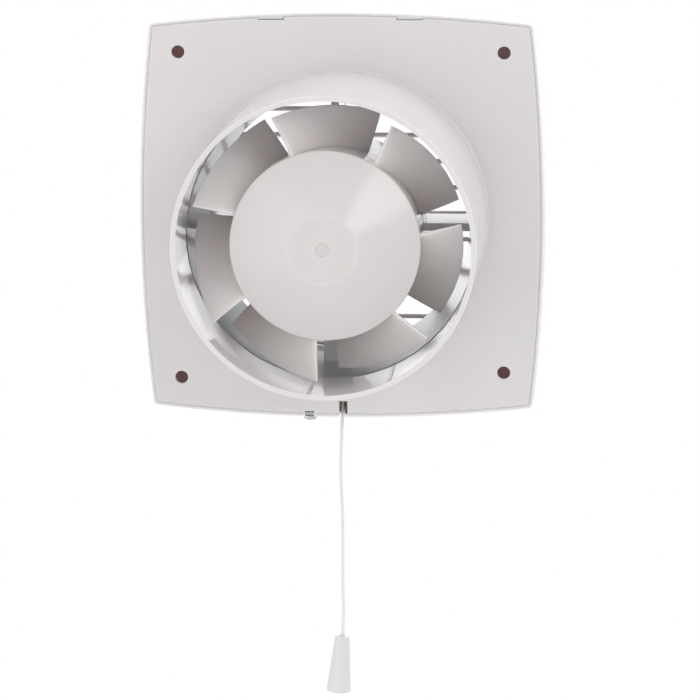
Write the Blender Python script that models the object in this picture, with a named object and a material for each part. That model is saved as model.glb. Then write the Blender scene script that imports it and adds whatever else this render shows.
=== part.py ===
"""Extractor fan for a 150 mm duct: louvred front cover, seven-bladed impeller and a pull cord switch.

The origin is the centre of the duct in the plane of the wall. The room is towards -Y, the duct runs
towards +Y into the wall, and +Z is up.
"""

import math

import bmesh
import bpy
from mathutils import Matrix, Vector

mm = 0.001

# Clearances
GAP = 0.3 * mm              # between pieces that touch
EMBED = 0.4 * mm            # how far a boss or rib sinks into the wall that it grows from
REACH = 1.0 * mm            # how far a cutter runs past the face that it opens

# The duct's size leads, and the cover, the ring and the blades follow it
DUCT_RADIUS = 74.0 * mm
DUCT_WALL = 2.5 * mm
DUCT_LENGTH = 108.0 * mm
DUCT_FILLET = 1.2 * mm
DUCT_EDGE = 0.4 * mm

# Front cover
SIDE_MARGIN = 28.4 * mm     # from the duct's side to the cover's side
HEIGHT_MARGIN = 29.3 * mm   # from the duct's top and bottom to the cover's
SIDE_BOW = 5.7 * mm         # how far the middle of a side bulges beyond the corners
CORNER_RADIUS = 2.4 * mm
COVER_WALL = 1.7 * mm
COVER_DEPTH = 27.0 * mm
COVER_SETBACK = 0.6 * mm    # from the wall to the cover's rear edge
COVER_CROWN = 8.0 * mm      # depth and width of the rounded front edge
RIM_GAP = 0.45 * mm         # gap line between the cover and the back plate
WINDOW_INSET = 34.0 * mm    # from the cover's side to the louvre window
WINDOW_CORNER = 5.0 * mm
WINDOW_EDGE = 0.8 * mm      # softened front edge of the window
CORD_SLOT_DEPTH = 2.2 * mm  # how far the cord's slot runs past the cord

# Louvre
SLAT_COUNT = 9
SLAT_THICKNESS = 1.8 * mm
SLAT_DEPTH = 12.0 * mm
SLAT_DROP = 2.0 * mm        # how much lower the room side of a slat lies
SLAT_SETBACK = 1.2 * mm     # from the cover's face to the slats
LOUVRE_RING = 2.5 * mm
LOUVRE_CORNER = 4.6 * mm
LOUVRE_SETBACK = 0.4 * mm   # from the cover's face to the ring
LOUVRE_LIP = 2.0 * mm       # flange that catches behind the cover's face
LIP_THICKNESS = 1.4 * mm
RING_STEP = 0.6 * mm        # how much slimmer the ring is behind its flange
BACKBONE_HALF = 1.1 * mm    # half the width of the upright bar behind the slats

# Back plate and duct
PLATE_THICKNESS = 3.0 * mm
PLATE_CORNER = 0.9 * mm
RIB_INSET = 2.0 * mm        # from the plate's edge to its stiffening rib
RIB_WIDTH = 1.4 * mm
RIB_HEIGHT = 3.5 * mm
HOLE_SIDE = 8.1 * mm        # from the duct's side to the line of the mounting holes
HOLE_ABOVE = 9.2 * mm       # from the duct's top to the line of the mounting holes
HOLE_RADIUS = 3.3 * mm
LOW_HOLE_RISE = 3.8 * mm    # one lower hole sits higher than its neighbour
CLIP_CENTRE = 34.9 * mm     # the two clip recesses on the top edge
CLIP_WIDTH = 13.2 * mm
CLIP_DEPTH = 0.6 * mm
HOOK_LENGTH = 1.2 * mm      # how far the cover's hooks reach from the plate's rear face
RELIEF_CENTRE = -6.3 * mm   # shallow relief in the bottom edge, beside the cord notch
RELIEF_WIDTH = 7.0 * mm
RELIEF_HEIGHT = 0.5 * mm
RELIEF_DEPTH = 1.5 * mm

# Motor carrier: inlet ring, struts and motor cup
RING_REAR = 61.0 * mm
RING_LIP = 0.7 * mm         # wall at the ring's thin rear edge
RING_WALL = 1.8 * mm
RING_TAPER = 5.0 * mm       # how much wider the ring is at its rear edge than at its throat
THROAT_Y = 8.0 * mm
MOUTH_FLARE = 7.0 * mm      # how much wider the mouth is than the throat
MOUTH_START = 1.0 * mm      # widening at a quarter of the throat's depth
MOUTH_MIDDLE = 3.6 * mm     # widening at the flange's rear face
FLANGE_WIDTH = 4.8 * mm     # from the ring's outside to the flange's edge
FLANGE_THICKNESS = 2.1 * mm
EAR_OFFSET = 4.0 * mm       # from the flange's edge to the ears' screws
EAR_RADIUS = 4.6 * mm
EAR_STEP = 0.1 * mm         # how much thinner the ears are than the flange, on each side
CUP_RADIUS = 44.0 * mm
CUP_WALL = 2.0 * mm
CUP_ROUND = 1.6 * mm        # rounded edge of the cup's floor
CUP_REAR = 60.0 * mm
CUP_DRAFT = 0.6 * mm
STRUT_THICKNESS = 3.9 * mm
STRUT_FRONT = 0.7 * mm
STRUT_DEPTH = 33.0 * mm
STRUT_TOE = 1.6 * mm        # how far a strut follows the mouth's flare
CHANNEL_WIDTH = 12.6 * mm
CHANNEL_WALL = 1.8 * mm
CHANNEL_END = 0.6 * mm      # wall left between the trough and the cup
DOOR_FRONT = 3.5 * mm       # opening for the leads in the cup's wall
DOOR_REAR = 15.0 * mm
VENT_COUNT = 8
VENT_WIDTH = 2.6 * mm
VENT_INNER = 24.0 * mm
VENT_OUTER = 36.0 * mm

# Impeller
BLADE_COUNT = 7
HUB_RADIUS = 46.4 * mm
HUB_DRAFT = 0.8 * mm
HUB_WALL = 2.0 * mm
HUB_CROWN_WALL = 2.4 * mm   # wall of the hub's flat disc
HUB_FRONT = 63.0 * mm
HUB_EDGE = 97.3 * mm        # where the skirt turns into the cone
HUB_TOP = 111.5 * mm
HUB_FLAT = 17.0 * mm        # radius of the flat disc
HUB_ROUND = 1.6 * mm
HUB_FLAT_EDGE = 1.3 * mm    # width of the rounded edge round the flat disc
DIMPLE_RADIUS = 3.3 * mm
DIMPLE_EDGE = 0.4 * mm
DIMPLE_DEPTH = 0.7 * mm
BOSS_RADIUS = 5.5 * mm
BOSS_LENGTH = 1.0 * mm      # how far the boss stands out of the hub's front
SHAFT_SKIN = 3.6 * mm       # plastic over the shaft's rear end
HUB_RIB = 1.5 * mm
HUB_RIB_FRONT = 78.0 * mm
BLADE_REAR = 96.2 * mm
BLADE_FRONT = 64.3 * mm
BLADE_ROOM_REAR = 4.7 * mm  # between the blades' tips and the duct
BLADE_ROOM_FRONT = 5.9 * mm
BLADE_ROOT = 1.5 * mm       # how deep the blades start in the hub's skirt
BLADE_REAR_ANGLE = math.radians(67.6)
BLADE_TURN = math.radians(44.7)
BLADE_LEAN = math.radians(2.2)      # the root runs ahead of the tip
BLADE_CAMBER = 0.25
BLADE_ROOT_THICKNESS = 2.2 * mm
BLADE_TIP_THICKNESS = 1.3 * mm

# Shaded-pole motor
MOTOR_Y = 38.0 * mm         # middle of the lamination stack
STACK_LENGTH = 20.0 * mm
STACK_HALF_WIDTH = 20.0 * mm
STACK_TOP = 20.0 * mm
STACK_BOTTOM = -30.0 * mm
STACK_CHAMFER = 4.0 * mm
BAR_HEIGHT = 7.7 * mm
WINDOW_HALF = 13.5 * mm
WINDOW_TOP = -15.5 * mm
ROTOR_RADIUS = 12.0 * mm
AIR_GAP = 0.5 * mm
SHAFT_RADIUS = 2.0 * mm
SHAFT_FRONT = 19.0 * mm
MOTOR_SCREW_X = 16.2 * mm
MOTOR_SCREW_Z = 14.5 * mm
MOTOR_SCREW_RADIUS = 1.5 * mm
FOOT_RADIUS = 3.6 * mm
FOOT_HEIGHT = 2.7 * mm
BRACKET_PLATE = 2.2 * mm
BRACKET_ARM = 5.0 * mm
BRACKET_STEP = 0.1 * mm     # how far the arms lie below the feet's ends
ARM_ROOT = 1.2 * mm         # from the bearing to an arm's inner end
HOUSING_LIP = 0.8 * mm      # thickness of the lip over the bearing
SHAFT_ROOM = 1.6 * mm       # between the shaft and that lip
HOUSING_RADIUS = 8.8 * mm
HOUSING_RISE = 2.3 * mm     # how far the bearing housing stands out of the bracket
HOUSING_DROP = 1.0 * mm     # how far it reaches towards the rotor
BEARING_RADIUS = 6.5 * mm
BEARING_LENGTH = 4.6 * mm
BEARING_EDGE = 0.5 * mm
SHAFT_EDGE = 0.4 * mm
ROTOR_EDGE = 1.0 * mm
ROTOR_CAP = 0.6 * mm        # how far the rotor's end rings stand out of the stack
CLIP_RING = 1.0 * mm        # thickness of the impeller's retaining ring
CLIP_RING_STEP = 0.6 * mm   # how much smaller it is than the boss
POST_RADIUS = 3.3 * mm
POST_GRIP = 9.0 * mm        # how deep the long screws reach into the posts
BOBBIN_WALL = 1.0 * mm
COIL_BUILD = 4.2 * mm
COIL_EDGE = 1.2 * mm
BOBBIN_END = 1.2 * mm       # from the yoke's legs to the bobbin
MOTOR_SCREW_HEAD = 2.9 * mm
MOTOR_SCREW_DOME = 1.8 * mm
FLANGE_EDGE = 0.7 * mm      # how far the bobbin's flanges stand past the winding

# Pull switch, cord and knob
SWITCH_Y = -9.8 * mm
CORD_X = 0.6 * mm
SWITCH_HALF_WIDTH = 12.0 * mm
SWITCH_RISE = 7.8 * mm      # from the cover's underside to the switch
SWITCH_HEIGHT = 17.5 * mm
SWITCH_EDGE = 0.8 * mm
SWITCH_FLOOR = 1.5 * mm
CAVITY_RADIUS = 5.0 * mm
CAVITY_WALL = 1.3 * mm
PLUNGER_CAP_RADIUS = 4.5 * mm
PLUNGER_CAP = 2.0 * mm
PLUNGER_EDGE = 0.5 * mm
PLUNGER_RADIUS = 1.9 * mm
PLUNGER_REST = 0.5 * mm     # free height above the plunger's cap
PLUNGER_SETBACK = 0.5 * mm  # how far the plunger's end lies inside the switch
CORD_SOCKET = 7.0 * mm
CORD_END = 1.0 * mm         # room above the cord's end in the plunger's socket
CORD_RADIUS = 0.85 * mm
CORD_STEP = 5.2 * mm        # between the cord's points
SPRING_RADIUS = 3.2 * mm
SPRING_WIRE = 0.35 * mm
SPRING_TURN_COUNT = 4
SWITCH_EAR = 2.0 * mm       # thickness of the ears
SWITCH_POST = 3.0 * mm      # radius of the posts that carry them
SWITCH_EAR_X = 15.5 * mm
SWITCH_EAR_DROP = 3.5 * mm  # from the switch's top to its ears
SWITCH_EAR_BACK = 3.0 * mm  # from the switch's rear face to its ears
SWITCH_SCREW_HEAD = 2.8 * mm
TAB_RISE = 6.5 * mm         # from the switch's underside to the terminals
TAB_FRONT = 3.0 * mm        # where the two terminals lie, from the plunger's axis
TAB_BACK = 1.5 * mm
TAB_OUT = 4.0 * mm          # terminal tab outside the switch
TAB_IN = 3.0 * mm
TAB_THICKNESS = 0.8 * mm
TAB_WIDTH = 4.0 * mm
NOTCH_HALF = 2.12 * mm
NOTCH_HEIGHT = 8.4 * mm     # from the cover's underside to the top of the plate's notch
NOTCH_X = -0.45 * mm
CORD_SLOT_HALF = 1.4 * mm
CORD_FREE = 116.7 * mm      # from the cover's underside to the knob
# How the cord hangs: part of that length, and millimetres to the side
CORD_SWAY = ((-0.04, 0.0), (0.1, 0.7), (0.23, 1.2), (0.37, 0.85), (0.46, 0.45), (0.77, 0.45), (0.9, 0.27))
KNOB_TOP_X = 1.45 * mm
KNOB_LENGTH = 29.5 * mm
KNOB_TILT = math.radians(4.2)
KNOB_TOP_RADIUS = 3.8 * mm
KNOB_BASE_RADIUS = 6.3 * mm
KNOB_WALL = 1.4 * mm
KNOB_CROWN = 7.0 * mm       # solid length above the hollow
KNOB_FLARE = 0.5 * mm       # flare of the cord's hole
KNOB_FLARE_DEPTH = 1.2 * mm
KNOB_TOP_ROUND = 0.8 * mm
KNOB_BASE_ROUND = 1.0 * mm
KNOB_LIP = 0.2 * mm         # flat rim inside that rounding
CORD_BITE = 6.0 * mm        # cord inside the knob

# Cover screw
COVER_SCREW_X = 16.8 * mm
COVER_SCREW_Y = -6.5 * mm
SCREW_RADIUS = 1.5 * mm
SCREW_HEAD = 3.5 * mm
SCREW_DOME = 2.5 * mm
SMALL_SCREW = 1.1 * mm
SMALL_SCREW_DOME = 1.5 * mm
BLIND = 0.8 * mm            # skin left below a blind screw hole
COVER_SCREW_LENGTH = 12.0 * mm
BOSS_WALL = 1.7 * mm
BOSS_RISE = 3.0 * mm        # from the plate's edge to the cover screw's boss
SCREW_NOTCH_HALF = 2.35 * mm
SCREW_NOTCH_HEIGHT = 1.0 * mm
SCREW_NOTCH_START = 1.0 * mm    # from the cover screw to the notch in the cover's edge

# Terminal block and cable clamp
BLOCK_SIDE = 36.4 * mm      # from the cover's left side to the block
BLOCK_RISE = 9.8 * mm       # from the cover's underside to the block
BLOCK_WIDTH = 12.0 * mm
BLOCK_HEIGHT = 20.0 * mm
BLOCK_FRONT = -16.0 * mm
TOWER_HEIGHT = 4.0 * mm
TOWER_WALL = 0.9 * mm
WIRE_DEPTH = 8.0 * mm       # from the block's front to its wire holes
POLE_SCREW_DEPTH = 1.0 * mm
WIRE_BITE = 2.5 * mm        # how far the leads reach into the block
POLE_COUNT = 3
POLE_PITCH = 6.7 * mm
WIRE_HOLE_RADIUS = 1.4 * mm
POLE_SCREW_RADIUS = 1.6 * mm
POLE_SCREW_LENGTH = 3.6 * mm
CLAMP_SIDE = 26.4 * mm      # from the cover's left side to the cable clamp
CLAMP_RISE = 41.3 * mm      # from the cover's underside to the cable clamp
CLAMP_PITCH = 14.0 * mm
CLAMP_EDGE = 0.6 * mm
CLAMP_POST = 2.7 * mm
CLAMP_WIDTH = 5.6 * mm
CLAMP_THICKNESS = 2.6 * mm
CABLE_ROOM = 4.0 * mm
KNOCKOUT_SIDE = 14.4 * mm   # from the cover's left side to the cable entry
KNOCKOUT_RADIUS = 4.5 * mm
KNOCKOUT_SKIN = 0.9 * mm
LEAD_RADIUS = 0.75 * mm
LEAD_STEP = 4.4 * mm
LEAD_APART = 2.4 * mm       # from the middle of the cup's doorway to each lead
LEAD_Y = 9.0 * mm           # height of the leads in the doorway
LEAD_BEND = 3.0 * mm        # room for a bend in a lead
LEAD_CLEAR = 3.2 * mm       # between the ring's flange and the leads that pass over it

# Facets
ROUND_COUNT = 40
MEDIUM_COUNT = 16
SMALL_COUNT = 8
SIDE_COUNT = 6
CORNER_COUNT = 2
CROWN_COUNT = 3
ROUNDING_COUNT = 2

# Colours as red, green and blue, with roughness and metallic value
WHITE = ((0.80, 0.80, 0.79), 0.38, 0.0)
IMPELLER_GREY = ((0.74, 0.72, 0.71), 0.42, 0.0)
STEEL = ((0.62, 0.62, 0.63), 0.35, 1.0)
LAMINATION = ((0.30, 0.31, 0.33), 0.5, 1.0)
COPPER = ((0.72, 0.36, 0.20), 0.35, 1.0)
ZINC = ((0.55, 0.56, 0.58), 0.45, 1.0)
BRONZE = ((0.55, 0.40, 0.22), 0.4, 1.0)
BRASS = ((0.75, 0.60, 0.30), 0.3, 1.0)
NYLON = ((0.86, 0.84, 0.78), 0.5, 0.0)
BLUE_PVC = ((0.08, 0.20, 0.55), 0.5, 0.0)
BROWN_PVC = ((0.25, 0.12, 0.06), 0.5, 0.0)
CORD_WHITE = ((0.78, 0.76, 0.70), 0.8, 0.0)

# Sizes that follow from the ones above
COVER_HALF_WIDTH = DUCT_RADIUS + SIDE_MARGIN
COVER_HALF_HEIGHT = DUCT_RADIUS + HEIGHT_MARGIN
SIDE_CHORD = COVER_HALF_WIDTH - SIDE_BOW
SIDE_ARC = (SIDE_CHORD ** 2 + SIDE_BOW ** 2) / (2 * SIDE_BOW)
PLATE_INSET = COVER_WALL + RIM_GAP
PLATE_FRONT = -PLATE_THICKNESS
BORE_RADIUS = DUCT_RADIUS - DUCT_WALL
RING_RADIUS = BORE_RADIUS - GAP
THROAT_RADIUS = RING_RADIUS - RING_LIP - RING_TAPER
FLANGE_RADIUS = RING_RADIUS + FLANGE_WIDTH
COVER_FACE = -COVER_DEPTH
COVER_INNER = COVER_FACE + COVER_WALL
FLANGE_REAR = PLATE_FRONT - GAP
FLANGE_FRONT = FLANGE_REAR - FLANGE_THICKNESS
EAR_REAR = FLANGE_REAR - EAR_STEP
EAR_FRONT = FLANGE_FRONT + EAR_STEP
HUB_INNER = HUB_RADIUS - HUB_WALL
BLADE_TIP_REAR = BORE_RADIUS - BLADE_ROOM_REAR
BLADE_TIP_FRONT = BORE_RADIUS - BLADE_ROOM_FRONT
BORE = SHAFT_RADIUS + GAP
SHAFT_REAR = HUB_TOP - DIMPLE_DEPTH - SHAFT_SKIN
BOSS_FRONT = HUB_FRONT - BOSS_LENGTH
STACK_FRONT = MOTOR_Y - STACK_LENGTH / 2
STACK_REAR = MOTOR_Y + STACK_LENGTH / 2
FOOT_FACE = STACK_LENGTH / 2 + GAP
BRACKET_INNER = FOOT_FACE + FOOT_HEIGHT
BRACKET_OUTER = BRACKET_INNER + BRACKET_PLATE
HOUSING_OUTER = BRACKET_OUTER + HOUSING_RISE
HOUSING_INNER = BRACKET_INNER - HOUSING_DROP
POST_TOP = MOTOR_Y - BRACKET_OUTER - GAP
SWITCH_BOTTOM = -COVER_HALF_HEIGHT + SWITCH_RISE
SWITCH_TOP = SWITCH_BOTTOM + SWITCH_HEIGHT
SWITCH_EAR_Z = SWITCH_TOP - SWITCH_EAR_DROP
SWITCH_SEAT = SWITCH_Y + CAVITY_RADIUS + CAVITY_WALL - SWITCH_EAR_BACK
TAB_Z = SWITCH_BOTTOM + TAB_RISE
PLUNGER_END = SWITCH_BOTTOM + PLUNGER_SETBACK
NOTCH_TOP = -COVER_HALF_HEIGHT + NOTCH_HEIGHT
KNOB_TOP_Z = -COVER_HALF_HEIGHT - CORD_FREE
CAVITY_TOP = SWITCH_TOP - CAVITY_WALL
CAVITY_FLOOR = SWITCH_BOTTOM + SWITCH_FLOOR
CAP_TOP = CAVITY_TOP - PLUNGER_REST
CAP_BOTTOM = CAP_TOP - PLUNGER_CAP
BLOCK_LOW = Vector((-COVER_HALF_WIDTH + BLOCK_SIDE, BLOCK_FRONT, -COVER_HALF_HEIGHT + BLOCK_RISE))
BLOCK_HIGH = Vector((BLOCK_LOW.x + BLOCK_WIDTH, PLATE_FRONT - GAP, BLOCK_LOW.z + BLOCK_HEIGHT))
BLOCK_X = (BLOCK_LOW.x + BLOCK_HIGH.x) / 2
POLE_Z = [(BLOCK_LOW.z + BLOCK_HIGH.z) / 2 + (i - (POLE_COUNT - 1) / 2) * POLE_PITCH for i in range(POLE_COUNT)]
WIRE_Y = BLOCK_FRONT + WIRE_DEPTH
CLAMP_X = -COVER_HALF_WIDTH + CLAMP_SIDE
CLAMP_Z = -COVER_HALF_HEIGHT + CLAMP_RISE
CLAMP_SEAT = PLATE_FRONT - CABLE_ROOM
KNOCKOUT_X = -COVER_HALF_WIDTH + KNOCKOUT_SIDE


# Outlines and basic solids

def spread(low, high, steps):
    """Evenly spaced values from low to high, both included."""
    return [low + (high - low) * i / steps for i in range(steps + 1)]


def arc(centre, radius, start, end, steps):
    """Points of an arc in a plane, with angles in degrees."""
    turns = [math.radians(a) for a in spread(start, end, steps)]
    return [(centre[0] + radius * math.cos(t), centre[1] + radius * math.sin(t)) for t in turns]


def bowed_outline(inset, corner=CORNER_RADIUS):
    """Outline with bulging sides and round corners, parallel to the cover's side, as (x, z)."""
    beside = Vector((COVER_HALF_WIDTH - SIDE_ARC, 0))
    above = Vector((0, COVER_HALF_HEIGHT - SIDE_ARC))
    half = (above - beside) / 2
    outward = Vector((-half.y, half.x)).normalized()
    inner = SIDE_ARC - inset - corner
    fillet = beside + half + outward * math.sqrt(inner ** 2 - half.length_squared)
    low = math.degrees(math.atan2(fillet.y, fillet.x - beside.x))
    high = math.degrees(math.atan2(fillet.y - above.y, fillet.x))
    side = arc(beside, SIDE_ARC - inset, -low, low, SIDE_COUNT)
    bend = arc(fillet, corner, low, high, CORNER_COUNT + 1)[1:-1]
    top = arc(above, SIDE_ARC - inset, high, 180 - high, SIDE_COUNT)
    outline = side + bend + top + [(-x, z) for x, z in reversed(bend)]
    return outline + [(-x, -z) for x, z in outline]


def side_at(half, inset, along):
    """Distance from the centre to a bowed side, at a place along it."""
    return half - SIDE_ARC + math.sqrt((SIDE_ARC - inset) ** 2 - along ** 2)


def bottom_at(inset, along):
    """Height of the cover's bottom side at an inset, at a place along it."""
    return -side_at(COVER_HALF_HEIGHT, inset, along)


def fresh(bm):
    bmesh.ops.recalc_face_normals(bm, faces=bm.faces)
    return bm


def turned(profile, sides=ROUND_COUNT):
    """Solid turned about the Y axis from (radius, y) points: a ring, or open-ended on the axis."""
    bm = bmesh.new()
    verts = [bm.verts.new((r, y, 0)) for r, y in profile]
    edges = [bm.edges.new(pair) for pair in zip(verts, verts[1:])]
    if profile[0][0] > 0 or profile[-1][0] > 0:
        edges.append(bm.edges.new((verts[-1], verts[0])))
    bmesh.ops.spin(bm, geom=verts + edges, cent=(0, 0, 0), axis=(0, 1, 0), angle=math.tau, steps=sides,
                   use_merge=True)
    bmesh.ops.remove_doubles(bm, verts=bm.verts, dist=0.001 * mm)
    return fresh(bm)


def prism(outline, low, high):
    """Outline of (x, z) points, extruded along Y."""
    bm = bmesh.new()
    face = bm.faces.new([bm.verts.new((x, low, z)) for x, z in outline])
    grown = bmesh.ops.extrude_face_region(bm, geom=[face])["geom"]
    lifted = [g for g in grown if isinstance(g, bmesh.types.BMVert)]
    bmesh.ops.translate(bm, verts=lifted, vec=(0, high - low, 0))
    return fresh(bm)


def loft(rings, closed=False):
    """Skin over rings of points, closed on itself or with a face at each end."""
    bm = bmesh.new()
    loops = [[bm.verts.new(p) for p in ring] for ring in rings]
    pairs = list(zip(loops, loops[1:]))
    if closed:
        pairs.append((loops[-1], loops[0]))
    else:
        bm.faces.new(loops[0])
        bm.faces.new(loops[-1])
    for a, b in pairs:
        for i in range(len(a)):
            j = (i + 1) % len(a)
            bm.faces.new((a[i], a[j], b[j], b[i]))
    return fresh(bm)


def block(low, high, bevel=0.0):
    """Box between two corners, with its edges softened if a bevel is given."""
    low, high = Vector(low), Vector(high)
    bm = bmesh.new()
    size = Matrix.Diagonal((*(high - low), 1))
    bmesh.ops.create_cube(bm, size=1, matrix=Matrix.Translation((low + high) / 2) @ size)
    if bevel:
        bmesh.ops.bevel(bm, geom=bm.edges[:], offset=bevel, segments=1, affect="EDGES")
    return fresh(bm)


def rod(start, end, radius, sides=SMALL_COUNT):
    """Round bar between two points."""
    start, end = Vector(start), Vector(end)
    bm = bmesh.new()
    turn = (end - start).to_track_quat("Z", "Y").to_matrix().to_4x4()
    bmesh.ops.create_cone(bm, cap_ends=True, segments=sides, radius1=radius, radius2=radius,
                          depth=(end - start).length, matrix=Matrix.Translation((start + end) / 2) @ turn)
    return fresh(bm)


def moved(bm, matrix):
    bm.transform(matrix)
    return bm


def together(solids):
    """One mesh that holds several solids."""
    whole = bmesh.new()
    for solid in solids:
        piece = bpy.data.meshes.new("piece")
        solid.to_mesh(piece)
        solid.free()
        whole.from_mesh(piece)
        bpy.data.meshes.remove(piece)
    return whole


def screw(length, radius=SCREW_RADIUS, head=SCREW_HEAD, dome=SCREW_DOME):
    """Dome-headed screw along Y: the head sits on y = 0 and the shank runs to -Y."""
    shank = [(0, -length), (0.5 * radius, -length), (radius, radius - length), (radius, 0)]
    crown = [(head, 0), (head, 0.4 * dome), (0.6 * head, 0.9 * dome), (0, dome)]
    return turned(shank + crown, SMALL_COUNT)


# Objects

def add_object(name, bm, finish, location=(0, 0, 0)):
    """Object with its own Principled material, from a mesh in the object's own space."""
    mesh = bpy.data.meshes.new(name)
    bm.to_mesh(mesh)
    bm.free()
    thing = bpy.data.objects.new(name, mesh)
    thing.location = location
    bpy.context.scene.collection.objects.link(thing)
    dress(thing, finish)
    shade(thing)
    return thing


def add_copies(name, bm, finish, placements):
    """Objects that share one mesh, each placed by a matrix, and numbered if there are several."""
    names = [f"{name}_{i + 1}" for i in range(len(placements))] if len(placements) > 1 else [name]
    first = add_object(names[0], bm, finish)
    first.matrix_world = placements[0]
    for copy_name, placement in zip(names[1:], placements[1:]):
        copy = bpy.data.objects.new(copy_name, first.data)
        copy.matrix_world = placement
        bpy.context.scene.collection.objects.link(copy)


def dress(thing, finish):
    colour, roughness, metallic = finish
    material = bpy.data.materials.new(thing.name + "_finish")
    material.use_nodes = True
    shader = material.node_tree.nodes["Principled BSDF"]
    shader.inputs["Base Color"].default_value = (*colour, 1)
    shader.inputs["Roughness"].default_value = roughness
    shader.inputs["Metallic"].default_value = metallic
    thing.data.materials.append(material)


def shade(thing):
    thing.data.shade_smooth()
    thing.data.set_sharp_from_angle(angle=math.radians(32))


def combine(target, solids, operation):
    """Boolean of the target with solids, worked out at once."""
    mesh = bpy.data.meshes.new("tool")
    tool_bm = together(solids)
    tool_bm.to_mesh(mesh)
    tool_bm.free()
    tool = bpy.data.objects.new("tool", mesh)
    bpy.context.scene.collection.objects.link(tool)
    modifier = target.modifiers.new("boolean", "BOOLEAN")
    modifier.operation = operation
    modifier.solver = "EXACT"
    modifier.use_self = True
    modifier.object = tool
    result = bpy.data.meshes.new_from_object(target.evaluated_get(bpy.context.evaluated_depsgraph_get()))
    target.modifiers.clear()
    plain = target.data
    target.data = result
    result.name = target.name
    bpy.data.meshes.remove(plain)
    bpy.data.objects.remove(tool)
    bpy.data.meshes.remove(mesh)
    shade(target)


def fuse(target, solids):
    combine(target, solids, "UNION")


def cut(target, solids):
    combine(target, solids, "DIFFERENCE")


def axis_empty(name, location):
    empty = bpy.data.objects.new(name, None)
    empty.location = location
    empty.empty_display_size = 20 * mm
    bpy.context.scene.collection.objects.link(empty)
    return empty


def carry(empty, *things):
    """Parents things to an empty and keeps them where they are."""
    for thing in things:
        thing.parent = empty
        thing.matrix_parent_inverse = Matrix.Translation(-empty.location)


# Casing

def hole_places():
    """The four mounting holes, as (x, z)."""
    x, z = DUCT_RADIUS + HOLE_SIDE, DUCT_RADIUS + HOLE_ABOVE
    return [(x, z), (-x, z), (x, -z), (-x, -z + LOW_HOLE_RISE)]


def ear_places():
    """The four carrier screws, on the duct's diagonals."""
    offset = (FLANGE_RADIUS + EAR_OFFSET) / math.sqrt(2)
    return [(sx * offset, sz * offset) for sx in (1, -1) for sz in (1, -1)]


def clamp_posts():
    return [(CLAMP_X, CLAMP_Z + side * CLAMP_PITCH / 2) for side in (1, -1)]


def clip_floor():
    """Height of the floor of the clip recesses in the plate's top edge."""
    return side_at(COVER_HALF_HEIGHT, PLATE_INSET, CLIP_CENTRE + CLIP_WIDTH / 2) - CLIP_DEPTH


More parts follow.
